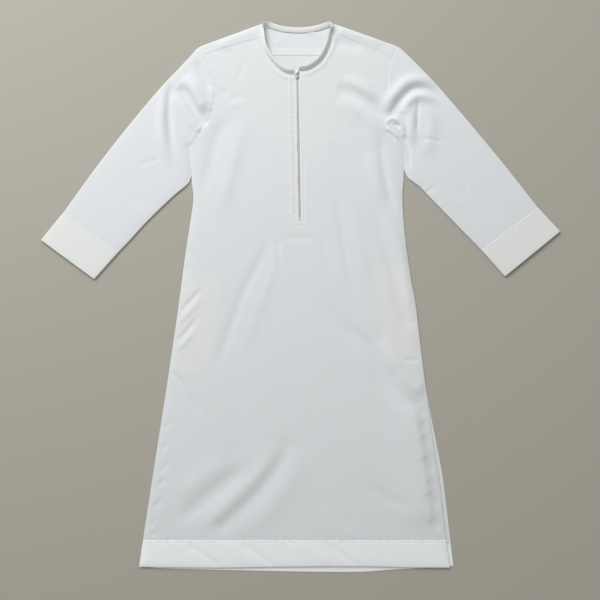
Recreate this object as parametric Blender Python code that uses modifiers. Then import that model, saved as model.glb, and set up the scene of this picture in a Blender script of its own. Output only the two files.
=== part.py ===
"""A thobe robe laid flat on its back, zip up.

A long white robe with a round neck, a narrow standing neck band, a short centre
zip, a shoulder yoke, set-in sleeves with deep cuffs, pockets in the side seams
and a deep hem. Each cut piece is a thin wall of its own. The pattern is drawn
in metres from the centre line (x) and from the front hem (y), and an empty
carries it so that the origin is under the middle of the whole robe. Left and
right are as seen from above, with the neck at +Y.
"""

import math
from collections import namedtuple

import bmesh
import bpy
from mathutils import Vector

# ---- Driving sizes, in metres -------------------------------------------------
CLOTH = 0.0010  # wall of a single layer
DOUBLE = 0.0016  # wall of a turned-up hem, cuff or band
GAP = 0.0003  # least space between two pieces
SEAM = 0.0008  # plan space between two sewn edges
BACK_MID = CLOTH / 2  # height of the middle of a layer that lies on the surface
DOUBLE_MID = DOUBLE / 2

CENTRE_LINE_X = -0.006  # the pattern's centre line and front hem, from the origin
HEM_LINE_Y = -0.6535

# Heights of the upper layer's middle, and how softly it falls to an edge.
UPPER_BASE = 0.0050
UPPER_AT_SEAM = BACK_MID + CLOTH + GAP
UPPER_AT_FOLD = 0.0027
EDGE_FALL = 0.012
FOLD_RADIUS = 0.0011
CUFF_LIFT = 0.0009
HEM_LIFT = 0.0010

BAND_HEIGHT = 0.012
POCKET_WALL = 0.0011
POCKET_MID = CLOTH + GAP + POCKET_WALL / 2
POCKET_INSET = 0.018

# ---- Zip, drawn on its own line -------------------------------------------------
ZIP_FOOT = (0.0045, 0.836)
ZIP_HEAD = (-0.0015, 1.200)
SLIT_HALF = 0.0017
SLIDER_HALF_OPENING = 0.0047
CHAIN_HALF = 0.0022
TAPE_WIDTH = 0.0115
TAPE_WALL = 0.0010
TAPE_MID = UPPER_BASE - CLOTH / 2 - 1.1 * GAP - TAPE_WALL / 2
SLIDER_LENGTH = 0.0096
SLIDER_TOP = UPPER_BASE + CLOTH / 2
PULL_AXIS_Z = SLIDER_TOP + 0.0013
PULL_BACK_FROM_HEAD = 0.0056
PULL_LENGTH = 0.0150
PULL_WIDTH = 0.0066
PULL_WALL = 0.0012

# ---- Colours, linear ------------------------------------------------------------
WHITE_CLOTH = (0.745, 0.750, 0.750, 1.0)
ZIP_METAL = (0.62, 0.63, 0.64, 1.0)

# ---- Pattern tables --------------------------------------------------------------
# Each outline is a short list of (x, y) points, and smooth curves run through them.
Half = namedtuple(
    "Half",
    "name sign front_side back_side armhole yoke_seam shoulder neckline "
    "sleeve_upper underarm sleeve_lower cuff_end pocket",
)
LEFT = Half(
    name="left",
    sign=-1,
    front_side=[(-0.373, 0.066), (-0.350, 0.211), (-0.317, 0.428), (-0.289, 0.622),
                (-0.273, 0.743), (-0.2585, 0.840), (-0.252, 0.890), (-0.2555, 0.930),
                (-0.263, 1.014)],
    back_side=[(-0.377, 0.054), (-0.353, 0.211), (-0.319, 0.428), (-0.290, 0.622),
               (-0.273, 0.743), (-0.2585, 0.840), (-0.252, 0.890), (-0.2555, 0.930),
               (-0.263, 1.014)],
    armhole=[(-0.263, 1.014), (-0.240, 1.046), (-0.215, 1.082), (-0.201, 1.130),
             (-0.200, 1.165), (-0.209, 1.203), (-0.227, 1.239)],
    yoke_seam=[(-0.088, 1.280), (-0.227, 1.239)],
    shoulder=[(-0.090, 1.312), (-0.230, 1.261)],
    neckline=[(-0.0062, 1.192), (-0.028, 1.193), (-0.0415, 1.2003), (-0.061, 1.2183),
              (-0.0795, 1.2435), (-0.0875, 1.267), (-0.088, 1.280)],
    sleeve_upper=[(-0.2306, 1.2608), (-0.244, 1.253), (-0.2575, 1.2375), (-0.2915, 1.2015),
                  (-0.3375, 1.1525), (-0.4175, 1.0565), (-0.4925, 0.960), (-0.5675, 0.856)],
    underarm=[(-0.2663, 1.012), (-0.2630, 0.975), (-0.2600, 0.939)],
    sleeve_lower=[(-0.2600, 0.939), (-0.269, 0.924), (-0.304, 0.8945), (-0.365, 0.8355),
                  (-0.408, 0.7885), (-0.436, 0.7595)],
    cuff_end=[(-0.6205, 0.791), (-0.492, 0.6965)],
    pocket=[(0.470, 0.088), (0.560, 0.098), (0.640, 0.097), (0.712, 0.094)],
)
RIGHT = Half(
    name="right",
    sign=1,
    front_side=[(0.358, 0.066), (0.341, 0.211), (0.331, 0.270), (0.314, 0.392),
                (0.298, 0.513), (0.284, 0.634), (0.273, 0.695), (0.259, 0.791),
                (0.252, 0.885), (0.2545, 0.940), (0.2575, 1.026)],
    back_side=[(0.370, 0.054), (0.351, 0.211), (0.3405, 0.270), (0.317, 0.392),
               (0.298, 0.513), (0.284, 0.634), (0.273, 0.695), (0.259, 0.791),
               (0.252, 0.885), (0.2545, 0.940), (0.2575, 1.026)],
    armhole=[(0.2575, 1.026), (0.243, 1.051), (0.229, 1.082), (0.219, 1.133),
             (0.2155, 1.170), (0.218, 1.203), (0.225, 1.234)],
    yoke_seam=[(0.080, 1.292), (0.225, 1.234)],
    shoulder=[(0.090, 1.312), (0.234, 1.261)],
    neckline=[(0.0032, 1.1995), (0.018, 1.2015), (0.0285, 1.204), (0.0485, 1.217),
              (0.0625, 1.2325), (0.0765, 1.263), (0.080, 1.292)],
    sleeve_upper=[(0.2346, 1.2608), (0.247, 1.254), (0.264, 1.239), (0.300, 1.203),
                  (0.346, 1.154), (0.428, 1.058), (0.508, 0.961), (0.580, 0.869)],
    underarm=[(0.2608, 1.024), (0.2592, 0.985), (0.2590, 0.955)],
    sleeve_lower=[(0.2590, 0.955), (0.268, 0.940), (0.2955, 0.9185), (0.3235, 0.8895),
                  (0.3975, 0.8135), (0.4435, 0.7665)],
    cuff_end=[(0.633, 0.812), (0.500, 0.7035)],
    pocket=[(0.490, 0.082), (0.560, 0.092), (0.650, 0.091), (0.735, 0.086)],
)
FRONT_HEM_DROP = [(-0.383, 0.002), (-0.200, 0.000), (-0.060, 0.002), (0.050, 0.003),
                  (0.170, 0.003), (0.260, 0.001), (0.3665, 0.000)]
BACK_HEM_DROP = [(-0.384, 0.004), (-0.319, -0.003), (-0.100, -0.009), (0.126, -0.012),
                 (0.247, -0.005), (0.376, 0.003)]
BACK_YOKE_Y = 1.239
BACK_NECKLINE = [(-0.090, 1.3105), (-0.076, 1.3025), (-0.040, 1.294), (0.000, 1.2905),
                 (0.040, 1.294), (0.076, 1.3025), (0.090, 1.3105)]
FRONT_SEAM_Y = 0.066
BACK_SEAM_Y = 0.054

# The neck band's foot, from the zip's left side round the back to its right side.
# lean is from upright, in degrees: over the opening is positive, outwards negative.
BandStation = namedtuple("BandStation", "x y z lean")
BAND_STATIONS = [
    BandStation(-0.0098, 1.1945, 0.0062, 48),
    BandStation(-0.0268, 1.1958, 0.0062, 50),
    BandStation(-0.0400, 1.2026, 0.0062, 50),
    BandStation(-0.0592, 1.2202, 0.0062, 50),
    BandStation(-0.0774, 1.2447, 0.0062, 46),
    BandStation(-0.0850, 1.2682, 0.0062, 40),
    BandStation(-0.0862, 1.2880, 0.0060, 34),
    BandStation(-0.0858, 1.3030, 0.0050, 14),
    BandStation(-0.0815, 1.3095, 0.0036, -32),
    BandStation(-0.0720, 1.3060, 0.0028, -58),
    BandStation(-0.0400, 1.2965, 0.0024, -66),
    BandStation(0.0000, 1.2930, 0.0024, -68),
    BandStation(0.0400, 1.2965, 0.0024, -66),
    BandStation(0.0720, 1.3060, 0.0028, -58),
    BandStation(0.0815, 1.3095, 0.0036, -32),
    BandStation(0.0832, 1.3030, 0.0050, 14),
    BandStation(0.0796, 1.2925, 0.0060, 34),
    BandStation(0.0738, 1.2640, 0.0062, 40),
    BandStation(0.0603, 1.2345, 0.0062, 46),
    BandStation(0.0468, 1.2192, 0.0062, 50),
    BandStation(0.0273, 1.2062, 0.0062, 50),
    BandStation(0.0170, 1.2038, 0.0062, 50),
    BandStation(0.0020, 1.2022, 0.0062, 48),
]

# The largest folds of the upper layer: how wide, how high (a trough is negative),
# and the way each one runs.
Fold = namedtuple("Fold", "width rise route")
LARGE_FOLDS = [
    Fold(0.030, -0.0018, [(-0.272, 1.150), (-0.246, 1.122), (-0.222, 1.092)]),
    Fold(0.028, 0.0030, [(-0.290, 1.120), (-0.272, 1.060), (-0.268, 1.000)]),
    Fold(0.020, -0.0016, [(-0.306, 1.140), (-0.308, 1.040), (-0.288, 0.945)]),
    Fold(0.026, 0.0026, [(0.262, 1.150), (0.280, 1.110), (0.282, 1.010)]),
    Fold(0.018, -0.0016, [(0.226, 1.100), (0.252, 1.140), (0.292, 1.150), (0.345, 1.115)]),
    Fold(0.034, -0.0022, [(0.182, 0.550), (0.230, 0.440), (0.300, 0.378)]),
    Fold(0.040, 0.0036, [(0.215, 0.600), (0.262, 0.500), (0.300, 0.430)]),
    Fold(0.034, 0.0024, [(0.130, 0.560), (0.185, 0.450), (0.260, 0.350)]),
    Fold(0.034, -0.0016, [(0.105, 1.155), (0.190, 1.090), (0.205, 1.000), (0.245, 0.850)]),
    Fold(0.040, 0.0020, [(0.100, 0.850), (0.150, 0.650), (0.190, 0.540)]),
    Fold(0.036, -0.0016, [(-0.055, 0.800), (-0.130, 0.665), (-0.200, 0.460)]),
    Fold(0.030, -0.0018, [(-0.155, 0.225), (-0.220, 0.160), (-0.290, 0.110)]),
    Fold(0.036, 0.0026, [(-0.060, 0.300), (-0.140, 0.185), (-0.230, 0.115)]),
    Fold(0.030, -0.0018, [(-0.020, 0.330), (-0.075, 0.225), (-0.200, 0.080)]),
]

# ---- Grid counts -----------------------------------------------------------------
ARMHOLE_STEPS = 8
BELOW_ZIP_STEPS = 17
SLIT_FOOT_STEPS = 1
SLIT_STEPS = 6
SLIDER_STEPS = 2
NECKLINE_STEPS = 8
FRONT_SIDE_STEPS = (BELOW_ZIP_STEPS + SLIT_FOOT_STEPS + SLIT_STEPS + SLIDER_STEPS
                    + NECKLINE_STEPS - ARMHOLE_STEPS)
FRONT_COLUMNS = (0.0, 0.07, 0.15, 0.27, 0.40, 0.53, 0.66, 0.79, 0.91, 1.0)
BACK_COLUMNS = (0.0, 0.25, 0.5, 0.75, 0.92, 1.0)
BACK_SIDE_STEPS = 14
HEM_COLUMNS = 18
SLEEVE_STEPS = 9
UNDERARM_STEPS = 2
FOLD_STEPS = 3
YOKE_COLUMNS = 6
YOKE_BACK_ROWS = 3
YOKE_FRONT_ROWS = 2
BAND_COLUMNS = 44


# ---- Curves and patches ------------------------------------------------------------
def smooth_point(points, k, t):
    """Point at fraction t of span k on a smooth curve through the points."""
    a = points[max(k - 1, 0)]
    b = points[k]
    c = points[k + 1]
    d = points[min(k + 2, len(points) - 1)]
    return tuple(
        0.5 * (2 * b[n] + (c[n] - a[n]) * t
               + (2 * a[n] - 5 * b[n] + 4 * c[n] - d[n]) * t * t
               + (3 * b[n] - a[n] - 3 * c[n] + d[n]) * t ** 3)
        for n in range(len(b))
    )


def route(points, fractions):
    """Points of a smooth curve at the given fractions of its plan length."""
    if isinstance(fractions, int):
        fractions = [n / fractions for n in range(fractions + 1)]
    fine = [smooth_point(points, k, t / 24)
            for k in range(len(points) - 1) for t in range(24)] + [tuple(points[-1])]
    travelled = [0.0]
    for a, b in zip(fine, fine[1:]):
        travelled.append(travelled[-1] + math.dist(a[:2], b[:2]))
    found = []
    k = 0
    for fraction in fractions:
        target = fraction * travelled[-1]
        while k < len(fine) - 2 and travelled[k + 1] < target:
            k += 1
        t = (target - travelled[k]) / (travelled[k + 1] - travelled[k])
        found.append(tuple(p + (q - p) * t for p, q in zip(fine[k], fine[k + 1])))
    return found


def joined(*runs):
    """Several runs end to end, each shared point kept once."""
    line = list(runs[0])
    for run in runs[1:]:
        line += run[1:]
    return line


def between(a, b, t):
    """Point a fraction t of the way from a to b."""
    return tuple(p + (q - p) * t for p, q in zip(a, b))


def patch(bottom, top, start, end):
    """Rows of plan points that fill four edges.

    bottom and top run from the start edge to the end edge, and start and end
    run from bottom to top.
    """
    columns = len(bottom) - 1
    rows = len(start) - 1
    grid = []
    for j in range(rows + 1):
        v = j / rows
        line = []
        for i in range(columns + 1):
            u = i / columns
            across = [between(start[j], end[j], u)[n] for n in (0, 1)]
            along = [between(bottom[i], top[i], v)[n] for n in (0, 1)]
            low = between(bottom[0], bottom[-1], u)
            high = between(top[0], top[-1], u)
            corner = between(low, high, v)
            line.append(tuple(across[n] + along[n] - corner[n] for n in (0, 1)))
        grid.append(line)
    return grid


# ---- The upper layer's height ------------------------------------------------------
def segment_distance(x, y, a, b):
    """Distance in plan from a point to a straight stretch, and how far along it."""
    run = (b[0] - a[0], b[1] - a[1])
    length2 = run[0] ** 2 + run[1] ** 2
    t = max(0.0, min(1.0, ((x - a[0]) * run[0] + (y - a[1]) * run[1]) / length2))
    return math.hypot(x - a[0] - t * run[0], y - a[1] - t * run[1]), t


def line_distance(x, y, line):
    """Distance in plan from a point to a chain of straight stretches."""
    return min(segment_distance(x, y, a, b)[0] for a, b in zip(line, line[1:]))


SEAM_EDGES = [half.front_side for half in (LEFT, RIGHT)] + [FRONT_HEM_DROP]
SEAM_EDGES += [[LEFT.front_side[0], FRONT_HEM_DROP[0]],
               [RIGHT.front_side[0], FRONT_HEM_DROP[-1]]]
FOLD_EDGES = [
    joined(half.shoulder, half.sleeve_upper, [half.sleeve_upper[-1], half.cuff_end[0]])
    for half in (LEFT, RIGHT)
]
FOLD_EDGES += [
    joined(half.underarm, half.sleeve_lower, [half.sleeve_lower[-1], half.cuff_end[1]])
    for half in (LEFT, RIGHT)
]


def fold_rise(fold, x, y):
    """What one large fold adds to the height: a soft hump that fades at its ends."""
    spans = len(fold.route) - 1
    best = None
    for k, (a, b) in enumerate(zip(fold.route, fold.route[1:])):
        away, t = segment_distance(x, y, a, b)
        if best is None or away < best[0]:
            best = (away, (k + t) / spans)
    away, along = best
    fade = math.sin(math.pi * (0.12 + 0.76 * along))
    return fold.rise * fade * math.exp(-((away / (0.6 * fold.width)) ** 2))


def upper_height(x, y):
    """Height of the middle of the upper layer over a plan point."""
    at_seam = math.exp(-min(line_distance(x, y, line) for line in SEAM_EDGES) / EDGE_FALL)
    at_fold = math.exp(-min(line_distance(x, y, line) for line in FOLD_EDGES) / EDGE_FALL)
    base = (UPPER_BASE - (UPPER_BASE - UPPER_AT_SEAM) * at_seam
            - (UPPER_BASE - UPPER_AT_FOLD) * at_fold)
    folds = sum(fold_rise(fold, x, y) for fold in LARGE_FOLDS)
    return max(base + folds * (1 - max(at_seam, at_fold)), UPPER_AT_SEAM)


# ---- Mesh helpers ------------------------------------------------------------------
def material(name, colour, roughness, metallic=0.0):
    """A plain Principled material."""
    made = bpy.data.materials.new(name)
    made.use_nodes = True
    shader = made.node_tree.nodes["Principled BSDF"]
    shader.inputs["Base Color"].default_value = colour
    shader.inputs["Roughness"].default_value = roughness
    shader.inputs["Metallic"].default_value = metallic
    return made


def add_sheet(mesh, grid):
    """Adds a grid primitive whose points are moved to the given rows of points."""
    rows = len(grid) - 1
    columns = len(grid[0]) - 1
    made = bmesh.ops.create_grid(mesh, x_segments=columns, y_segments=rows, size=0.5)
    for vert in made["verts"]:
        i = round((vert.co.x + 0.5) * columns)
        j = round((vert.co.y + 0.5) * rows)
        vert.co = Vector(grid[j][i])


def place(name, mesh_data, collection, finish, parent):
    """Links a mesh as a named object with its own copy of a finish."""
    obj = bpy.data.objects.new(name, mesh_data)
    own = finish.copy()
    own.name = name
    mesh_data.materials.append(own)
    collection.objects.link(obj)
    obj.parent = parent
    return obj


def cloth_piece(name, grids, wall, setting):
    """A cloth wall: the grids are welded along their common edges, then thickened."""
    mesh = bmesh.new()
    for grid in grids:
        add_sheet(mesh, grid)
    bmesh.ops.remove_doubles(mesh, verts=mesh.verts, dist=0.00002)
    bmesh.ops.recalc_face_normals(mesh, faces=mesh.faces)
    data = bpy.data.meshes.new(name)
    mesh.to_mesh(data)
    mesh.free()
    obj = place(name, data, setting["robe"], setting["cloth"], setting["frame"])
    solid = obj.modifiers.new("wall", "SOLIDIFY")
    solid.thickness = wall
    solid.offset = 0.0
    data.shade_smooth()
    return obj


# ---- Body --------------------------------------------------------------------------
def zip_x(y):
    """The zip line's x at a height y on the pattern."""
    t = (y - ZIP_FOOT[1]) / (ZIP_HEAD[1] - ZIP_FOOT[1])
    return ZIP_FOOT[0] + (ZIP_HEAD[0] - ZIP_FOOT[0]) * t


def centre_edge(half):
    """The front's inner edge: centre line, slit of the zip, and neckline."""
    low = (0.0, FRONT_SEAM_Y)
    slit_foot_y = ZIP_FOOT[1] + 0.012
    slider_y = half.neckline[0][1] - 0.009
    foot = (zip_x(slit_foot_y) + half.sign * SLIT_HALF, slit_foot_y)
    under_slider_y = slider_y - 0.008
    under_slider = (zip_x(under_slider_y) + half.sign * SLIT_HALF, under_slider_y)
    beside_slider = (zip_x(slider_y) + half.sign * SLIDER_HALF_OPENING, slider_y)
    head = half.neckline[0]
    return joined(
        route([low, ZIP_FOOT], BELOW_ZIP_STEPS),
        [ZIP_FOOT, foot],
        route([foot, under_slider], SLIT_STEPS),
        [under_slider, beside_slider, head],
        route(half.neckline, NECKLINE_STEPS),
    )


def front_grid(half):
    """One half of the front, from the centre to the side, hem seam to yoke seam."""
    inner = centre_edge(half)
    outer = joined(route(half.front_side, FRONT_SIDE_STEPS),
                   route(half.armhole, ARMHOLE_STEPS))
    bottom = route([inner[0], outer[0]], FRONT_COLUMNS)
    top = route([inner[-1], outer[-1]], FRONT_COLUMNS)
    return [[(x, y, upper_height(x, y)) for x, y in line]
            for line in patch(bottom, top, inner, outer)]


def back_grid(half):
    """One half of the back, flat on the surface, from the hem seam to the yoke."""
    top_y = BACK_YOKE_Y - SEAM
    armhole = [(x, min(y, top_y)) for x, y in route(half.armhole, ARMHOLE_STEPS)]
    outer = joined(route(half.back_side, BACK_SIDE_STEPS), armhole)
    inner = route([(0.0, BACK_SEAM_Y), (0.0, top_y)], len(outer) - 1)
    bottom = route([inner[0], outer[0]], BACK_COLUMNS)
    top = route([inner[-1], outer[-1]], BACK_COLUMNS)
    return [[(x, y, BACK_MID) for x, y in line]
            for line in patch(bottom, top, inner, outer)]


def hem_grid(seam, drop, flat_z):
    """A hem band between its seam and its lower edge, flat or on the upper layer."""
    low = route(drop, HEM_COLUMNS)
    rows = []
    for v in (0.0, 0.5, 1.0):
        line = [between(a, b, v) for a, b in zip(seam, low)]
        rows.append([(x, y, flat_z or upper_height(x, y) + HEM_LIFT) for x, y in line])
    return rows


def build_body(setting):
    """Front, back, and the two hem bands."""
    cloth_piece("front", [front_grid(LEFT), front_grid(RIGHT)], CLOTH, setting)
    cloth_piece("back", [back_grid(LEFT), back_grid(RIGHT)], CLOTH, setting)
    hems = (("hem_front", "front_side", FRONT_HEM_DROP, None),
            ("hem_back", "back_side", BACK_HEM_DROP, DOUBLE_MID))
    for name, side, drop, flat_z in hems:
        ends = [getattr(half, side)[0] for half in (LEFT, RIGHT)]
        seam = [(x, y - SEAM) for x, y in route(ends, HEM_COLUMNS)]
        cloth_piece(name, [hem_grid(seam, drop, flat_z)], DOUBLE, setting)


# ---- Yoke --------------------------------------------------------------------------
def over_fold(rim, outward, radius):
    """Offsets and heights round a fold, from the under layer to the upper one."""
    centre = between(rim, (rim[0] - outward[0], rim[1] - outward[1]), radius)
    top = upper_height(*centre)
    rise = (top - BACK_MID) / 2
    turn = []
    for k in range(FOLD_STEPS + 1):
        angle = math.pi * (k / FOLD_STEPS - 0.5)
        reach = radius * math.cos(angle)
        turn.append((centre[0] + outward[0] * reach, centre[1] + outward[1] * reach,
                     BACK_MID + rise + rise * math.sin(angle)))
    return turn


def yoke_strip(half):
    """One side of the yoke: under the shoulder, over its fold, and down the front."""
    neck, arm = half.shoulder
    run = (arm[0] - neck[0], arm[1] - neck[1])
    length = math.hypot(*run)
    outward = (-run[1] / length * half.sign, run[0] / length * half.sign)
    columns = []
    for i in range(YOKE_COLUMNS + 1):
        t = i / YOKE_COLUMNS
        turn = over_fold(between(neck, arm, t), outward, FOLD_RADIUS)
        foot = between((half.sign * 0.084, BACK_YOKE_Y), (half.armhole[-1][0], BACK_YOKE_Y), t)
        under = [between(foot, turn[0][:2], k / YOKE_BACK_ROWS) + (BACK_MID,)
                 for k in range(YOKE_BACK_ROWS)]
        seam = between(*half.yoke_seam, t)
        seam = (seam[0], seam[1] + SEAM)
        over = []
        for k in range(1, YOKE_FRONT_ROWS + 1):
            x, y = between(turn[-1][:2], seam, k / YOKE_FRONT_ROWS)
            over.append((x, y, upper_height(x, y)))
        columns.append(under + turn + over)
    return [list(line) for line in zip(*columns)]


def yoke_middle(left, right):
    """The back yoke between the neck points, up to the back neckline."""
    columns = 8
    start = [line[0][:2] for line in left[:YOKE_BACK_ROWS + 1]]
    end = [line[0][:2] for line in right[:YOKE_BACK_ROWS + 1]]
    bottom = route([start[0], end[0]], columns)
    neck = [start[-1]] + BACK_NECKLINE[1:-1] + [end[-1]]
    top = route(neck, columns)
    return [[(x, y, BACK_MID) for x, y in line] for line in patch(bottom, top, start, end)]


def build_yoke(setting):
    """The yoke, in one piece from the back seam over both shoulders."""
    left = yoke_strip(LEFT)
    right = yoke_strip(RIGHT)
    cloth_piece("yoke", [left, right, yoke_middle(left, right)], CLOTH, setting)


# ---- Sleeves -----------------------------------------------------------------------
def tube_grid(rows, upper, under_z):
    """Rows round a flattened tube: over the upper layer and back along the under one.

    rows are the tube's plan lines, each from its upper fold to its lower fold.
    """
    rings = []
    for line in rows:
        across = Vector(line[-1]) - Vector(line[0])
        across.normalize()
        over = [(x, y, upper(x, y)) for x, y in line]
        under = [(x, y, under_z) for x, y in reversed(line)]
        near = rounded(over[-1], under[0], across)
        far = rounded(under[-1], over[0], -across)
        rings.append(over + near + under + far + [over[0]])
    return rings


def rounded(start, end, outward):
    """Points of the round fold that joins two layers, ends left out."""
    middle = (start[2] + end[2]) / 2
    rise = (start[2] - end[2]) / 2
    points = []
    for k in range(1, FOLD_STEPS):
        angle = math.pi / 2 - math.pi * k / FOLD_STEPS
        reach = FOLD_RADIUS * math.cos(angle)
        points.append((start[0] + outward[0] * reach, start[1] + outward[1] * reach,
                       middle + rise * math.sin(angle)))
    return points


def sleeve_rows(half):
    """Plan lines of a sleeve from the armhole and underarm fold to the cuff seam."""
    shift = half.sign * SEAM
    armhole = [half.shoulder[1]] + route(half.armhole, ARMHOLE_STEPS)[:0:-1]
    start = [(x + shift, y) for x, y in armhole] + route(half.underarm, UNDERARM_STEPS)
    cuff = route([half.sleeve_upper[-1], half.sleeve_lower[-1]], len(start) - 1)
    upper = route([start[0]] + half.sleeve_upper[1:], SLEEVE_STEPS)
    lower = route(half.sleeve_lower, SLEEVE_STEPS)
    return patch(start, cuff, upper, lower)


def underarm_grid(half, rings):
    """The fold beside the body that closes a sleeve from its armpit to its corner."""
    ring = rings[0]
    corner = len(ring) // 2 - FOLD_STEPS
    rows = [ring[corner:corner + FOLD_STEPS + 1]]
    for k in range(1, UNDERARM_STEPS + 1):
        over = ring[corner - k]
        under = ring[corner + FOLD_STEPS + k]
        rows.append([over] + rounded(over, under, (-half.sign, 0.0)) + [under])
    return rows


def cuff_rows(half):
    """Plan lines of a cuff from its seam to its open end."""
    seam = [half.sleeve_upper[-1], half.sleeve_lower[-1]]
    reach = math.dist(seam[0], half.cuff_end[0])
    start = [between(a, b, SEAM / reach) for a, b in zip(seam, half.cuff_end)]
    columns = 6
    first = route(start, columns)
    last = route(half.cuff_end, columns)
    return [[between(a, b, v) for a, b in zip(first, last)] for v in (0.0, 0.5, 1.0)]


def build_sleeves(setting):
    """Both sleeves and both cuffs, as flattened tubes that are open at each end."""
    for half in (LEFT, RIGHT):
        tube = tube_grid(sleeve_rows(half), upper_height, BACK_MID)
        grids = [tube, underarm_grid(half, tube)]
        cloth_piece(f"sleeve_{half.name}", grids, CLOTH, setting)
        tube = tube_grid(cuff_rows(half), lambda x, y: upper_height(x, y) + CUFF_LIFT,
                         DOUBLE_MID)
        cloth_piece(f"cuff_{half.name}", [tube], DOUBLE, setting)


# ---- Neck band and pockets ---------------------------------------------------------
def build_band(setting):
    """The narrow standing band, which leans over the opening in front."""
    line = route([tuple(s) for s in BAND_STATIONS], BAND_COLUMNS)
    foot = []
    head = []
    for k, (x, y, z, lean) in enumerate(line):
        before = line[max(k - 1, 0)]
        after = line[min(k + 1, BAND_COLUMNS)]
        run = math.dist(before[:2], after[:2])
        inward = ((after[1] - before[1]) / run, -(after[0] - before[0]) / run)
        reach = BAND_HEIGHT * math.sin(math.radians(lean))
        rise = BAND_HEIGHT * math.cos(math.radians(lean))
        foot.append((x, y, z))
        head.append((x + inward[0] * reach, y + inward[1] * reach, z + rise))
    middle = [between(a, b, 0.5) for a, b in zip(foot, head)]
    cloth_piece("neck_band", [[foot, middle, head]], DOUBLE, setting)


def build_pockets(setting):
    """The bags of the side-seam pockets, flat between front and back."""
    for half in (LEFT, RIGHT):
        rows = []
        for y, depth in half.pocket:
            side = min(route(half.front_side, 60), key=lambda p: abs(p[1] - y))[0]
            edge = side - half.sign * POCKET_INSET
            inner = side - half.sign * depth
            rows.append([(edge + (inner - edge) * t, y, POCKET_MID)
                         for t in (0.0, 0.5, 1.0)])
        cloth_piece(f"pocket_{half.name}", [rows], POCKET_WALL, setting)


# ---- Zip ---------------------------------------------------------------------------
def box_mesh(name, low, high):
    """A box between two corners."""
    mesh = bmesh.new()
    bmesh.ops.create_cube(mesh, size=1.0)
    for vert in mesh.verts:
        vert.co = Vector(low[n] + (high[n] - low[n]) * (vert.co[n] + 0.5) for n in range(3))
    data = bpy.data.meshes.new(name)
    mesh.to_mesh(data)
    mesh.free()
    return data


def hidden_shape(name, low, high, setting):
    """A box that only shapes another piece."""
    obj = bpy.data.objects.new(name, box_mesh(name, low, high))
    setting["cutters"].objects.link(obj)
    obj.parent = setting["zip"]
    obj.hide_render = True
    obj.display_type = "WIRE"
    return obj


def build_zip_strip(setting, length):
    """The closed chain of teeth and the tape on each side of it."""
    chain_top = TAPE_MID + TAPE_WALL / 2
    chain = box_mesh("zip_chain", (-CHAIN_HALF, 0.004, chain_top - 0.0016),
                     (CHAIN_HALF, length - SLIDER_LENGTH + 0.0030, chain_top))
    place("zip_chain", chain, setting["robe"], setting["metal"], setting["zip"])
    inner = CHAIN_HALF + GAP
    for side, sign in (("left", -1), ("right", 1)):
        edges = sorted((sign * inner, sign * (inner + TAPE_WIDTH)))
        tape = box_mesh(f"zip_tape_{side}", (edges[0], -0.012, TAPE_MID - TAPE_WALL / 2),
                        (edges[1], length - 0.0100, TAPE_MID + TAPE_WALL / 2))
        place(f"zip_tape_{side}", tape, setting["robe"], setting["cloth"], setting["zip"])


def build_slider(setting, length):
    """The slider: two plates, the post between them, and the bridge for the pull."""
    low_y = length - SLIDER_LENGTH
    under = CLOTH + GAP
    plate_low = SLIDER_TOP - 0.0010
    data = box_mesh("zip_slider", (-0.0040, low_y, plate_low), (0.0040, length, SLIDER_TOP))
    slider = place("zip_slider", data, setting["robe"], setting["metal"], setting["zip"])
    bar_y = length - PULL_BACK_FROM_HEAD
    post = hidden_shape("slider_post", (-0.0013, length - 0.0030, under + 0.0004),
                        (0.0013, length - 0.0004, plate_low + 0.0004), setting)
    lower = hidden_shape("slider_lower_plate", (-0.0037, low_y + 0.0003, under),
                         (0.0037, length - 0.0002, under + 0.0009), setting)
    bridge = hidden_shape("slider_bridge", (-0.0009, bar_y - 0.0034, SLIDER_TOP - 0.0004),
                          (0.0009, bar_y + 0.0034, PULL_AXIS_Z + 0.0023), setting)
    window = hidden_shape("slider_window", (-0.0020, bar_y - 0.0025, SLIDER_TOP),
                          (0.0020, bar_y + 0.0025, PULL_AXIS_Z + 0.0013), setting)
    for shape, operation in ((lower, "UNION"), (post, "UNION"), (bridge, "UNION"),
                             (window, "DIFFERENCE")):
        cut = slider.modifiers.new(shape.name, "BOOLEAN")
        cut.operation = operation
        cut.object = shape
        cut.solver = "EXACT"


def outline_spline(curve, points):
    """Adds a closed flat outline to a curve."""
    spline = curve.splines.new("POLY")
    spline.points.add(len(points) - 1)
    for knot, (x, y) in zip(spline.points, points):
        knot.co = (x, y, 0.0, 1.0)
    spline.use_cyclic_u = True


def build_pull(setting, length):
    """The pull tab, with its origin on its hinge under the slider's bridge."""
    half = PULL_WIDTH / 2
    top = 0.0006
    bottom = top - PULL_LENGTH
    round_end = [(half * math.cos(math.pi * k / 8), bottom + half - half * math.sin(math.pi * k / 8))
                 for k in range(9)]
    window = [(0.0016, -0.0006), (0.0016, -0.0056), (-0.0016, -0.0056), (-0.0016, -0.0006)]
    curve = bpy.data.curves.new("zip_pull", "CURVE")
    curve.dimensions = "2D"
    curve.fill_mode = "BOTH"
    curve.extrude = PULL_WALL / 2
    outline_spline(curve, [(-half + 0.0008, top), (half - 0.0008, top), (half, top - 0.0008)]
                   + round_end + [(-half, top - 0.0008)])
    outline_spline(curve, window)
    pull = place("zip_pull", curve, setting["robe"], setting["metal"], setting["zip"])
    pull.location = (0.0, length - PULL_BACK_FROM_HEAD, PULL_AXIS_Z)


def build_zip(setting):
    """The zip on its own line, which leans a little from the centre line."""
    length = math.dist(ZIP_FOOT, ZIP_HEAD)
    build_zip_strip(setting, length)
    build_slider(setting, length)
    build_pull(setting, length)


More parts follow.
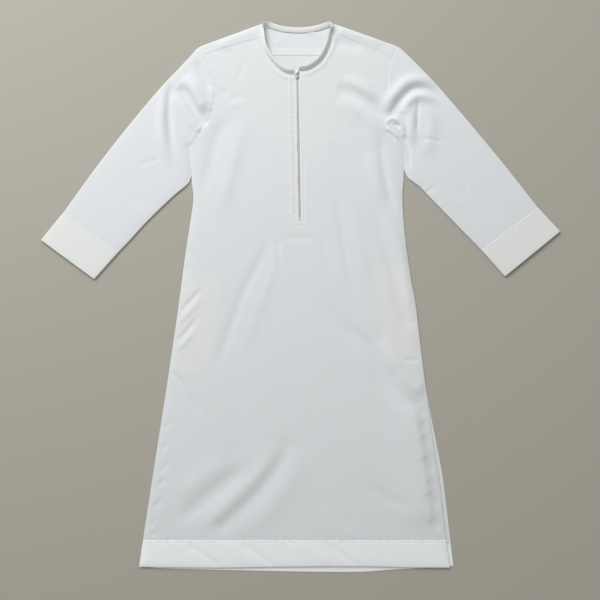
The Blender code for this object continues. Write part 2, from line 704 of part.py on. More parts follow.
# ---- Everything --------------------------------------------------------------------
def empty(name, collection, parent=None):
    """An empty that carries pieces."""
    made = bpy.data.objects.new(name, None)
    collection.objects.link(made)
    made.parent = parent
    return made


def main():
    """Builds the robe."""
    for obj in list(bpy.data.objects):
        bpy.data.objects.remove(obj)
    robe = bpy.data.collections.new("thobe_robe")
    cutters = bpy.data.collections.new("cutters")
    for collection in (robe, cutters):
        bpy.context.scene.collection.children.link(collection)
    frame = empty("pattern_frame", robe)
    frame.location = (CENTRE_LINE_X, HEM_LINE_Y, 0.0)
    zip_line = empty("zip_line", robe, frame)
    zip_line.location = (ZIP_FOOT[0], ZIP_FOOT[1], 0.0)
    zip_line.rotation_euler.z = -math.atan2(ZIP_HEAD[0] - ZIP_FOOT[0],
                                            ZIP_HEAD[1] - ZIP_FOOT[1])
    setting = {
        "robe": robe,
        "cutters": cutters,
        "frame": frame,
        "zip": zip_line,
        "cloth": material("white_cloth", WHITE_CLOTH, 0.85),
        "metal": material("zip_metal", ZIP_METAL, 0.3, metallic=1.0),
    }
    build_body(setting)
    build_yoke(setting)
    build_sleeves(setting)
    build_band(setting)
    build_pockets(setting)
    build_zip(setting)


main()
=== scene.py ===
"""Thobe robe laid flat on its back, zip closed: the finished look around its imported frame.

The cloth pieces follow the same flat pattern as the frame: metres from the
robe's centre line (x) and from the front hem (y), left and right as seen from
above. One height field shapes everything that lies on top, so that a fold
runs on from piece to piece, and each piece is a thin shell of its own on it.
"""

from __future__ import annotations

import logging
import math
from collections.abc import Callable, Sequence
from dataclasses import dataclass, field
from enum import Enum

import bmesh
import bpy
import numpy as np
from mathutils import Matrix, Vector


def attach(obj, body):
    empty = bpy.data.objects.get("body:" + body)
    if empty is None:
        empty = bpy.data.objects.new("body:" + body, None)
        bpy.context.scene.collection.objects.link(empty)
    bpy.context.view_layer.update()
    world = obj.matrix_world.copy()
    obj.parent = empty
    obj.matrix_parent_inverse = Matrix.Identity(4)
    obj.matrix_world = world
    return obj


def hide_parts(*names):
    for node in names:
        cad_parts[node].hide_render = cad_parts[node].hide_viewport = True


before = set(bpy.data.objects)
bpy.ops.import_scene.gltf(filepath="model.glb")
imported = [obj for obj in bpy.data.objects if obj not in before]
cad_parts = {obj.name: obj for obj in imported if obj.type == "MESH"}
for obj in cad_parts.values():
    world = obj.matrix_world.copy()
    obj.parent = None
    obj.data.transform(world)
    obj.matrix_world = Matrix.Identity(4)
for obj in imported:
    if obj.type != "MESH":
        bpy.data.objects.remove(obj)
LOG = logging.getLogger("thobe_robe")
MM = 0.001
CENTRE_LINE_X = -0.0060  # the pattern's own x = 0 and y = 0, in the frame
HEM_LINE_Y = -0.6535

Point = tuple[float, float]
Line = Sequence[Point]


# ---- Pattern -------------------------------------------------------------------------
class Side(Enum):
    """The two halves of the robe, with the sign of their x."""

    LEFT = -1
    RIGHT = 1


class Body(Enum):
    """The frame's bodies."""

    ROBE = "robe"
    PULL_TAB = "pull_tab"


class Slot(Enum):
    """The record's material slots."""

    CLOTH = "cloth"
    POCKET_CLOTH = "pocket_cloth"
    ZIP_TAPE = "zip_tape"
    ZIP_TEETH = "zip_teeth"
    ZIP_METAL = "zip_metal"


@dataclass(frozen=True)
class Half:
    """The outlines of one half of the robe: short lists of points that smooth curves run through."""

    side: Side
    front_side: Line
    back_side: Line
    armhole: Line
    yoke_seam: Line
    shoulder: Line
    neckline: Line
    sleeve_upper: Line
    underarm: Line
    sleeve_lower: Line
    cuff_end: Line
    pocket: Line

    @property
    def sign(self) -> int:
        """-1 on the left, 1 on the right."""
        return self.side.value

    @property
    def name(self) -> str:
        """The side in lower case."""
        return self.side.name.lower()


# Front and back share the upper part of each side seam.
LEFT_SIDE_TOP = [(-0.273, 0.743), (-0.2585, 0.840), (-0.252, 0.890), (-0.2555, 0.930), (-0.263, 1.014)]
RIGHT_SIDE_TOP = [(0.298, 0.513), (0.284, 0.634), (0.273, 0.695), (0.259, 0.791), (0.252, 0.885),
                  (0.2545, 0.940), (0.2575, 1.026)]
LEFT = Half(
    side=Side.LEFT,
    front_side=[(-0.373, 0.066), (-0.350, 0.211), (-0.317, 0.428), (-0.289, 0.622), *LEFT_SIDE_TOP],
    back_side=[(-0.377, 0.054), (-0.353, 0.211), (-0.319, 0.428), (-0.290, 0.622), *LEFT_SIDE_TOP],
    armhole=[(-0.263, 1.014), (-0.240, 1.046), (-0.215, 1.082), (-0.201, 1.130),
             (-0.200, 1.165), (-0.209, 1.203), (-0.227, 1.239)],
    yoke_seam=[(-0.088, 1.280), (-0.227, 1.239)],
    shoulder=[(-0.090, 1.312), (-0.230, 1.261)],
    neckline=[(-0.0062, 1.192), (-0.028, 1.193), (-0.0415, 1.2003), (-0.061, 1.2183),
              (-0.0795, 1.2435), (-0.0875, 1.267), (-0.088, 1.280)],
    sleeve_upper=[(-0.2306, 1.2608), (-0.244, 1.253), (-0.2575, 1.2375), (-0.2915, 1.2015),
                  (-0.3375, 1.1525), (-0.4175, 1.0565), (-0.4925, 0.960), (-0.5675, 0.856)],
    underarm=[(-0.2663, 1.012), (-0.2630, 0.975), (-0.2600, 0.939)],
    sleeve_lower=[(-0.2600, 0.939), (-0.269, 0.924), (-0.304, 0.8945), (-0.365, 0.8355),
                  (-0.408, 0.7885), (-0.436, 0.7595)],
    cuff_end=[(-0.6205, 0.791), (-0.492, 0.6965)],
    pocket=[(0.470, 0.088), (0.560, 0.098), (0.640, 0.097), (0.712, 0.094)],
)
RIGHT = Half(
    side=Side.RIGHT,
    front_side=[(0.358, 0.066), (0.341, 0.211), (0.331, 0.270), (0.314, 0.392), *RIGHT_SIDE_TOP],
    back_side=[(0.370, 0.054), (0.351, 0.211), (0.3405, 0.270), (0.317, 0.392), *RIGHT_SIDE_TOP],
    armhole=[(0.2575, 1.026), (0.243, 1.051), (0.229, 1.082), (0.219, 1.133),
             (0.2155, 1.170), (0.218, 1.203), (0.225, 1.234)],
    yoke_seam=[(0.080, 1.292), (0.225, 1.234)],
    shoulder=[(0.090, 1.312), (0.234, 1.261)],
    neckline=[(0.0032, 1.1995), (0.018, 1.2015), (0.0285, 1.204), (0.0485, 1.217),
              (0.0625, 1.2325), (0.0765, 1.263), (0.080, 1.292)],
    sleeve_upper=[(0.2346, 1.2608), (0.247, 1.254), (0.264, 1.239), (0.300, 1.203),
                  (0.346, 1.154), (0.428, 1.058), (0.508, 0.961), (0.580, 0.869)],
    underarm=[(0.2608, 1.024), (0.2592, 0.985), (0.2590, 0.955)],
    sleeve_lower=[(0.2590, 0.955), (0.268, 0.940), (0.2955, 0.9185), (0.3235, 0.8895),
                  (0.3975, 0.8135), (0.4435, 0.7665)],
    cuff_end=[(0.633, 0.812), (0.500, 0.7035)],
    pocket=[(0.490, 0.082), (0.560, 0.092), (0.650, 0.091), (0.735, 0.086)],
)
HALVES = (LEFT, RIGHT)
FRONT_HEM = [(-0.383, 0.002), (-0.200, 0.000), (-0.060, 0.002), (0.050, 0.003),
             (0.170, 0.003), (0.260, 0.001), (0.3665, 0.000)]
BACK_HEM = [(-0.384, 0.004), (-0.319, -0.003), (-0.100, -0.009), (0.126, -0.012),
            (0.247, -0.005), (0.376, 0.003)]
BACK_YOKE_Y = 1.239
BACK_NECKLINE = [(-0.090, 1.3105), (-0.076, 1.3025), (-0.040, 1.294), (0.000, 1.2905),
                 (0.040, 1.294), (0.076, 1.3025), (0.090, 1.3105)]
FRONT_SEAM_Y = 0.066
BACK_SEAM_Y = 0.054
# The inner edge of the facing behind the chest, which shows through as a faint line.
FACING_EDGE = [(-0.215, 1.160), (-0.187, 1.152), (-0.145, 1.118), (-0.107, 1.058),
               (-0.052, 1.012), (-0.026, 0.945), (-0.024, 0.815), (0.021, 0.815),
               (0.021, 0.950), (0.052, 1.010), (0.110, 1.050), (0.146, 1.104),
               (0.184, 1.152), (0.218, 1.168)]

# Levels and walls of the shown cloth, in metres.
WALL = 0.7 * MM
DOUBLE_WALL = 1.2 * MM
ON_SURFACE = 0.45 * MM  # middle of a layer that lies on the surface
DOUBLE_ON_SURFACE = ON_SURFACE + 0.25 * MM
UPPER_BASE = 5.4 * MM
UPPER_AT_SEAM = 2.2 * MM
UPPER_AT_FOLD = 4.2 * MM
LOWEST = 1.8 * MM
EDGE_FALL = 12 * MM
TUCK = 3.5 * MM  # how far a piece runs on under its neighbour at a seam
FOLD_RADIUS = 1.9 * MM
FOLD_STEPS = 6


@dataclass(frozen=True)
class BandStation:
    """One place along the neck band's foot. lean is from upright, in degrees, over the opening."""

    x: float
    y: float
    z: float
    lean: float


BAND_STATIONS = [BandStation(*row) for row in (
    (-0.0098, 1.1945, 0.0062, 48), (-0.0268, 1.1958, 0.0062, 50), (-0.0400, 1.2026, 0.0062, 50),
    (-0.0592, 1.2202, 0.0062, 50), (-0.0774, 1.2447, 0.0062, 46), (-0.0850, 1.2682, 0.0062, 40),
    (-0.0862, 1.2880, 0.0060, 34), (-0.0858, 1.3030, 0.0050, 14), (-0.0815, 1.3095, 0.0036, -32),
    (-0.0720, 1.3060, 0.0028, -58), (-0.0400, 1.2965, 0.0024, -66), (0.0000, 1.2930, 0.0024, -68),
    (0.0400, 1.2965, 0.0024, -66), (0.0720, 1.3060, 0.0028, -58), (0.0815, 1.3095, 0.0036, -32),
    (0.0832, 1.3030, 0.0050, 14), (0.0796, 1.2925, 0.0060, 34), (0.0738, 1.2640, 0.0062, 40),
    (0.0603, 1.2345, 0.0062, 46), (0.0468, 1.2192, 0.0062, 50), (0.0273, 1.2062, 0.0062, 50),
    (0.0170, 1.2038, 0.0062, 50), (0.0020, 1.2022, 0.0062, 48),
)]


# ---- Curves and patches ----------------------------------------------------------------
def blend(first: np.ndarray, last: np.ndarray, share: np.ndarray | float) -> np.ndarray:
    """The first at a share of 0, the last at 1, and an even mix between."""
    return first * (1 - share) + last * share


def distances(line: np.ndarray) -> np.ndarray:
    """How far along a chain of points each one lies."""
    return np.concatenate([[0], np.cumsum(np.linalg.norm(np.diff(line, axis=0), axis=1))])


def smooth_line(points: Line, steps: int | np.ndarray) -> np.ndarray:
    """Points along a smooth curve through the given ones.

    Args:
        points: the curve's own points, of any dimension.
        steps: how many even steps, or the fractions of its plan length to read it at.

    Returns:
        One row for each point read.
    """
    knots = np.asarray(points, float)
    t = np.linspace(0, 1, 24, endpoint=False)[:, None]
    fine = []
    for k in range(len(knots) - 1):
        a, b, c, d = (knots[min(max(k + n, 0), len(knots) - 1)] for n in (-1, 0, 1, 2))
        fine.append(0.5 * (2 * b + (c - a) * t + (2 * a - 5 * b + 4 * c - d) * t ** 2
                           + (3 * b - a - 3 * c + d) * t ** 3))
    curve = np.vstack([*fine, knots[-1:]])
    travelled = distances(curve[:, :2])
    fractions = np.linspace(0, 1, steps + 1) if isinstance(steps, int) else steps
    at = np.asarray(fractions) * travelled[-1]
    return np.stack([np.interp(at, travelled, curve[:, n]) for n in range(curve.shape[1])], axis=1)


def coons(bottom: np.ndarray, top: np.ndarray, start: np.ndarray, end: np.ndarray,
          share: np.ndarray | None = None, rise: np.ndarray | None = None) -> np.ndarray:
    """Rows of plan points that fill four edges.

    Args:
        bottom: the first row, from the start edge to the end edge.
        top: the last row.
        start: the first column, from bottom to top.
        end: the last column.
        share: how far across each column lies, from 0 to 1; even if left out.
        rise: how far up each row lies, likewise.

    Returns:
        An array of rows by columns by 2.
    """
    u = (np.linspace(0, 1, len(bottom)) if share is None else share)[None, :, None]
    v = (np.linspace(0, 1, len(start)) if rise is None else rise)[:, None, None]
    across = blend(start[:, None], end[:, None], u)
    along = blend(bottom[None], top[None], v)
    return across + along - blend(blend(bottom[0], bottom[-1], u), blend(top[0], top[-1], u), v)


def spread(stretches: Sequence[tuple[float, int]]) -> np.ndarray:
    """Fractions from 0 to 1 with a chosen number of steps in each stretch.

    Args:
        stretches: each stretch's share of the whole, and its steps.

    Returns:
        The fractions, both ends included.
    """
    found = [np.array([0.0])]
    reached = 0.0
    for share, steps in stretches:
        found.append(reached + share * np.arange(1, steps + 1) / steps)
        reached += share
    joined = np.concatenate(found)
    return joined / joined[-1]


@dataclass(frozen=True)
class Nearness:
    """Where points lie against a line: how far off, how far along it (0 to 1), and on which side."""

    away: np.ndarray
    along: np.ndarray
    side: np.ndarray


def nearness(plan: np.ndarray, line: np.ndarray) -> Nearness:
    """Measures plan points against a chain of straight stretches.

    Args:
        plan: points, one a row.
        line: the chain's points.

    Returns:
        The distance, the share of the line's length, and 1 left of it or -1 right of it.
    """
    best = np.full(len(plan), np.inf)
    along = np.zeros(len(plan))
    side = np.ones(len(plan))
    lengths = np.linalg.norm(np.diff(line, axis=0), axis=1)
    whole = max(lengths.sum(), 1e-9)
    passed = 0.0
    for a, b, length in zip(line[:-1], line[1:], lengths):
        run = b - a
        off = plan - a
        t = np.clip(off @ run / max(length ** 2, 1e-12), 0, 1)
        gap = off - t[:, None] * run
        away = np.hypot(gap[:, 0], gap[:, 1])
        nearer = away < best
        best[nearer] = away[nearer]
        along[nearer] = (passed + t[nearer] * length) / whole
        cross = run[0] * off[:, 1] - run[1] * off[:, 0]
        side[nearer] = np.sign(cross[nearer])
        passed += length
    return Nearness(best, along, side)


def inside(plan: np.ndarray, outline: np.ndarray, blur: float) -> np.ndarray:
    """How far inside a closed outline points are: 1 well inside, 0 well outside.

    Args:
        plan: points, one a row.
        outline: the outline's corners.
        blur: the width of the soft edge, in metres.

    Returns:
        One value for each point.
    """
    closed = np.vstack([outline, outline[:1]])
    away = nearness(plan, closed).away
    odd = np.zeros(len(plan), bool)
    for a, b in zip(closed[:-1], closed[1:]):
        spans = (a[1] > plan[:, 1]) != (b[1] > plan[:, 1])
        cut = a[0] + (plan[:, 1] - a[1]) / (b[1] - a[1] + 1e-12) * (b[0] - a[0])
        odd ^= spans & (plan[:, 0] < cut)
    signed = np.where(odd, away, -away)
    return np.clip(signed / blur + 0.5, 0, 1)


# ---- Folds -----------------------------------------------------------------------------
@dataclass(frozen=True)
class Crease:
    """One soft fold.

    width and rise are in millimetres, and a trough's rise is negative. lean from
    -1 to 1 makes the right or the left flank the steeper one. fade is the share
    of the length over which the fold comes in and goes out.
    """

    width: float
    rise: float
    route: Line
    lean: float = 0.0
    fade: Point = (0.3, 0.3)

    def lift(self, plan: np.ndarray) -> np.ndarray:
        """What the fold adds to the height.

        Args:
            plan: points, one a row.

        Returns:
            The rise at each point, in metres.
        """
        line = smooth_line(self.route, 4 * (len(self.route) - 1))
        reach = 2.6 * self.width * MM * (1 + abs(self.lean))
        near = np.all((plan > line.min(axis=0) - reach) & (plan < line.max(axis=0) + reach), axis=1)
        added = np.zeros(len(plan))
        if not near.any():
            return added
        found = nearness(plan[near], line)
        width = self.width * MM * (1 - self.lean * found.side)
        start = np.clip(found.along / max(self.fade[0], 1e-3), 0, 1)
        end = np.clip((1 - found.along) / max(self.fade[1], 1e-3), 0, 1)
        fading = (start * (2 - start)) * (end * end * (3 - 2 * end))
        added[near] = self.rise * MM * fading * np.exp(-((found.away / width) ** 2))
        return added


@dataclass(frozen=True)
class Puckers:
    """A row of small creases that a tight seam pulls up, uneven in place, length and depth.

    pitch, reach, width and rise are in millimetres. turn is the angle from the
    seam's normal, in degrees, and towards is 1 to its left and -1 to its right.
    """

    seam: Line
    pitch: float
    reach: float
    width: float
    rise: float
    towards: int
    turn: float = 0.0
    seed: int = 1

    def creases(self) -> list[Crease]:
        """The row as single creases."""
        draw = np.random.default_rng(self.seed)
        length = distances(smooth_line(self.seam, 40))[-1]
        count = max(int(length / (self.pitch * MM)), 1)
        places = (np.arange(count) + 0.5 + draw.uniform(-0.3, 0.3, count)) / count
        line = smooth_line(self.seam, np.concatenate([places, np.minimum(places + 0.01, 1)]))
        made = []
        for foot, ahead in zip(line[:count], line[count:]):
            run = ahead - foot
            angle = math.atan2(run[1], run[0]) + self.towards * math.radians(90)
            angle += math.radians(self.turn + draw.uniform(-12, 12))
            reach = self.reach * MM * draw.uniform(0.55, 1.25)
            tip = (foot[0] + reach * math.cos(angle), foot[1] + reach * math.sin(angle))
            rise = self.rise * draw.uniform(0.5, 1.3)
            width = self.width * draw.uniform(0.8, 1.25)
            made.append(Crease(width, rise, [tuple(foot), tip], fade=(0.05, 0.9)))
        return made


def mm(*numbers: float) -> Line:
    """A line from its points' x and y in turn, in millimetres."""
    return tuple(zip([n / 1000 for n in numbers[::2]], [n / 1000 for n in numbers[1::2]]))


def strokes(fade: Point, rows: Sequence[Sequence[float]]) -> list[Crease]:
    """Short straight creases that fade alike.

    Args:
        fade: how each comes in and goes out.
        rows: each one's width, rise, and the x and y of its foot and its tip.

    Returns:
        The creases.
    """
    return [Crease(width, rise, mm(*ends), fade=fade) for width, rise, *ends in rows]


CREASES = [
    # Chest: a deep diagonal hollow on the right that runs on down the side, a soft one on the left.
    Crease(15, -5.0, mm(94, 1160, 125, 1150, 148, 1135.5, 179, 1114, 204, 1089, 210.5, 1058),
           fade=(0.3, 0.35)),
    Crease(19, 4.2, mm(96, 1130, 134, 1113, 165, 1091, 186, 1060, 192, 1010), fade=(0.35, 0.4)),
    Crease(15, 4.6, mm(110, 1182, 142, 1166, 171, 1147, 200, 1120), fade=(0.5, 0.45)),
    Crease(9, -3.2, mm(196, 1034, 207, 966, 219.5, 903, 242, 850)),
    Crease(15, 2.6, mm(170, 1000, 184, 945, 208, 870), fade=(0.4, 0.4)),
    Crease(16, -2.8, mm(-165, 1090, -196, 1040, -216, 960, -237, 874), fade=(0.3, 0.4)),
    Crease(17, 2.4, mm(-130, 1085, -152, 997, -174, 912, -200, 828), fade=(0.4, 0.4)),
    Crease(7, -1.2, mm(-196, 1149, -184, 1150, -165, 1142), fade=(0.3, 0.4)),
    Crease(9, 0.8, mm(-168, 1108, -148, 1120, -128, 1113), fade=(0.4, 0.4)),
    Crease(9, -1.0, mm(-165, 1126, -144, 1136, -122, 1130), fade=(0.4, 0.4)),
    Crease(6, -0.8, mm(169, 1159, 186, 1154, 203, 1142), fade=(0.3, 0.4)),
    Crease(13, 3.4, mm(95, 1303, 150, 1284, 215, 1260), fade=(0.15, 0.3)),
    Crease(12, 2.0, mm(-94, 1300, -150, 1279, -212, 1254), fade=(0.2, 0.3)),
    Crease(13, -3.0, mm(90, 1272, 122, 1263, 158, 1250), fade=(0.25, 0.4)),
    # Below the zip: two short upright folds and a shallow step.
    Crease(5, -1.3, mm(-46, 794, -45, 753, -41, 702), lean=0.3, fade=(0.15, 0.5)),
    Crease(6, -0.9, mm(-41, 799, 0, 796, 46, 796), fade=(0.3, 0.4)),
    Crease(9, -0.8, mm(58, 801, 68, 738, 80, 682), fade=(0.3, 0.5)),
    # Centre of the skirt, right: long folds that sweep from the zip to the right side.
    Crease(10, -1.7, mm(87, 937, 104, 828, 131, 680, 179, 578), fade=(0.4, 0.4)),
    Crease(13, 1.2, mm(126, 912, 148, 779, 181, 646), fade=(0.4, 0.4)),
    Crease(14, -2.8, mm(172, 876, 220, 753, 244, 651, 266, 588, 286, 564), fade=(0.45, 0.15)),
    Crease(16, 2.4, mm(208, 852, 254, 738, 273, 646, 288, 603), fade=(0.4, 0.2)),
    Crease(18, -3.4, mm(44, 649, 114, 583, 177, 530, 213, 457, 264, 402, 310, 390), lean=0.25,
           fade=(0.6, 0.12)),
    Crease(18, 4.6, mm(198, 554, 237, 486, 278, 440, 312, 426), fade=(0.45, 0.15)),
    Crease(11, 1.4, mm(131, 537, 172, 457, 218, 385, 257, 346), fade=(0.4, 0.4)),
    Crease(5, -1.4, mm(252, 501, 273, 501, 295, 501), fade=(0.3, 0.2)),
    # Left of the skirt: one long fold from the zip to below the pocket.
    Crease(12, -2.2, mm(-60, 806, -97, 731, -136, 653, -177, 537, -215, 445), fade=(0.35, 0.35)),
    Crease(13, 1.3, mm(-29, 791, -68, 695, -111, 586, -150, 472), fade=(0.4, 0.4)),
    Crease(7, -1.8, mm(-295, 474, -271, 423, -237, 363), fade=(0.4, 0.2)),
    Crease(8, 1, mm(-276, 486, -247, 433, -208, 375), fade=(0.4, 0.4)),
    # Across the left pocket: creases that rise from the side seam.
    Crease(5.5, -2, mm(-286, 617, -261, 644, -223, 685), lean=0.3, fade=(0.1, 0.5)),
    Crease(6, 1.4, mm(-286, 593, -257, 624, -225, 656), fade=(0.1, 0.5)),
    Crease(5.5, -1.8, mm(-293, 547, -266, 576, -230, 620), lean=0.3, fade=(0.1, 0.5)),
    Crease(6, 1.2, mm(-293, 525, -266, 552, -237, 581), fade=(0.1, 0.5)),
    Crease(6, -1.2, mm(-305, 474, -290, 462, -271, 438), lean=0.3, fade=(0.1, 0.4)),
    # Lower left: two strong folds and the ridge between them.
    Crease(18, -4.2, mm(-128, 246, -170, 210, -218, 170, -262, 134, -300, 106), fade=(0.35, 0.3)),
    Crease(21, 4.2, mm(-50, 300, -83, 238, -140, 176, -232, 90), fade=(0.4, 0.2)),
    Crease(20, -3.8, mm(-16, 320, -44, 256, -100, 182, -158, 126, -214, 80), fade=(0.4, 0.12)),
    Crease(26, 2.4, mm(15, 281, -29, 194, -87, 121, -150, 73), fade=(0.4, 0.3)),
    Crease(20, 2.2, mm(-176, 262, -236, 216, -298, 160), fade=(0.35, 0.35)),
    # Small strokes that the left side seam pulls up.
    *strokes((0.1, 0.6), (
        (5, -1.3, -322.4, 336, -302, 360), (5, -1.3, -330, 282, -311, 306),
        (6.5, -1.2, -333, 230, -304, 265), (5, -1.4, -338, 196, -315, 220), (6, -1.6, -347, 144, -324, 172),
        (5, -1.3, -358, 101, -339, 123), (5, -1.3, -360, 77, -332, 86),
    )),
    # Lower right: the cloth stands up inside the side seam and falls steeply to its flat edge.
    Crease(34, 7.0, mm(240, 470, 270, 390, 290, 307, 301, 235, 311, 162, 319.5, 75), lean=0.52,
           fade=(0.4, 0.2)),
    *strokes((0.3, 0.5), (
        (8, -1.0, 295, 384, 313, 365), (9, -1.3, 296, 352, 315, 329), (11, -1.6, 298, 318, 321, 285),
        (13, -2.3, 301, 268, 329, 221), (9, -1.2, 312, 211, 333, 191), (14, -2.5, 309, 182, 343, 137),
        (12, -2.2, 319, 117, 349, 90),
    )),
    # Lower right: broad, shallow hollows.
    Crease(13, -1.3, mm(29, 181, 82, 138, 138, 87), fade=(0.4, 0.3)),
    Crease(12, -1.5, mm(152, 208, 218, 169, 295, 133), fade=(0.4, 0.3)),
    Crease(16, -0.9, mm(165, 307, 201, 269, 252, 244), fade=(0.4, 0.4)),
    Crease(15, -0.9, mm(-184, 361, -140, 317, -174, 259), fade=(0.4, 0.4)),
    # Left sleeve: the deep hollow at the armhole, and the fold beside it.
    Crease(16, 3.6, mm(-298, 1146, -282, 1122, -263, 1094, -248, 1066, -250, 1036), fade=(0.35, 0.35)),
    Crease(15, 8.8, mm(-276, 1186, -253, 1158, -236, 1124, -219, 1092), lean=-0.1, fade=(0.5, 0.3)),
    Crease(12, -6.4, mm(-287, 1162, -278, 1152, -262, 1128, -245, 1098, -222, 1064), fade=(0.25, 0.12)),
    Crease(8, -4.6, mm(-306, 1170, -311, 1130, -311, 1085, -307, 1040, -296, 985), fade=(0.25, 0.4)),
    Crease(12, 4.4, mm(-325, 1150, -329.5, 1090, -327, 1030, -308, 960), fade=(0.35, 0.4)),
    Crease(4.5, 0.8, mm(-226, 1084, -236, 1068, -248, 1052)),
    Crease(4, -0.6, mm(-222, 1074, -232, 1058, -243, 1042)),
    Crease(8, -2.8, mm(-247, 1226, -233, 1197, -219, 1168, -211, 1146)),
    Crease(6, -0.9, mm(-385, 973, -358, 980, -324, 990), fade=(0.3, 0.4)),
    Crease(12, -0.9, mm(-431, 937, -402, 898, -385, 854), fade=(0.4, 0.4)),
    # Right sleeve: the hollow that arches over the cap, and the puckered underarm.
    Crease(13, 6.5, mm(206, 1098, 216, 1119, 236, 1147, 266, 1173, 304, 1176, 348, 1160), fade=(0.3, 0.4)),
    Crease(11, 5.4, mm(256, 1094, 264, 1120, 284, 1137, 312, 1136, 345, 1118), fade=(0.3, 0.4)),
    Crease(12, 4.4, mm(268, 1112, 273, 1085, 272, 1046, 270, 1008), fade=(0.3, 0.35)),
    Crease(17, 3.2, mm(308, 1116, 320, 1080, 316, 1030, 300, 980), fade=(0.35, 0.4)),
    Crease(9, -5.4, mm(220, 1083, 231, 1102, 250.5, 1129.4, 275.4, 1153, 303.2, 1155.6, 337.3, 1142, 366,
           1118), fade=(0.14, 0.42)),
    Crease(5, -2.8, mm(290, 1128, 288.5, 1085, 287.5, 1045), fade=(0.3, 0.35)),
    Crease(6, -5.0, mm(259, 1046, 263.5, 1005, 269, 962), fade=(0.2, 0.4)),
    Crease(4, 3.8, mm(211, 1070, 223, 1083, 240, 1081, 252, 1066, 257, 1044), fade=(0.25, 0.25)),
    Crease(3.6, -3.6, mm(229, 1070, 239, 1069, 246, 1059)),
    Crease(3.4, 3.0, mm(213, 1064, 230, 1050, 246, 1030), fade=(0.25, 0.35)),
    Crease(3.2, -2.2, mm(211, 1055, 225, 1043, 238, 1026), fade=(0.25, 0.35)),
    Crease(5, -1.4, mm(293, 1036, 324, 1033, 358, 1024), fade=(0.3, 0.4)),
    Crease(9, -0.8, mm(399, 985, 402, 932, 411, 878), fade=(0.4, 0.4)),
    Crease(8, -0.9, mm(373, 874, 407, 854, 440, 823), fade=(0.4, 0.4)),
    Crease(4, -1.6, mm(431, 777, 445, 772, 460, 765), fade=(0.2, 0.4)),
    Crease(5, -1.2, mm(298, 898, 319, 912, 336, 927), fade=(0.15, 0.4)),
    # Yokes and shoulders: short slanting creases.
    Crease(6, -0.9, mm(-211, 1258, -191, 1246, -169, 1237), fade=(0.3, 0.4)),
    Crease(6, 0.9, mm(-194, 1268, -169, 1256, -145, 1249), fade=(0.3, 0.4)),
    Crease(7, -0.8, mm(-131, 1222, -140, 1193, -150, 1164), fade=(0.3, 0.4)),
    # Hem: soft slanting creases in the band.
    Crease(7, -1.3, mm(-271, 63, -230, 34, -181, 0), lean=0.3, fade=(0.3, 0.2)),
    Crease(7, -1.3, mm(-136, 63, -97, 34, -53, 2), lean=0.3, fade=(0.3, 0.2)),
    Crease(7, -1.2, mm(70, 63, 106, 34, 150, 2), lean=0.3, fade=(0.3, 0.2)),
    Crease(12, 0.9, mm(-177, 63, -140, 34, -102, 2)),
    Crease(12, 0.9, mm(-5, 63, 44, 34, 92, 2)),
]


def offset(line: Line, by: float, steps: int = 24) -> list[Point]:
    """A line moved sideways in plan.

    Args:
        line: its points.
        by: how far to its left, in metres.
        steps: how many steps the new line has.

    Returns:
        The new line's points.
    """
    points = smooth_line(line, steps)
    run = np.gradient(points, axis=0)
    run /= np.linalg.norm(run, axis=1)[:, None]
    return [tuple(p) for p in points + by * np.stack([-run[:, 1], run[:, 0]], axis=1)]


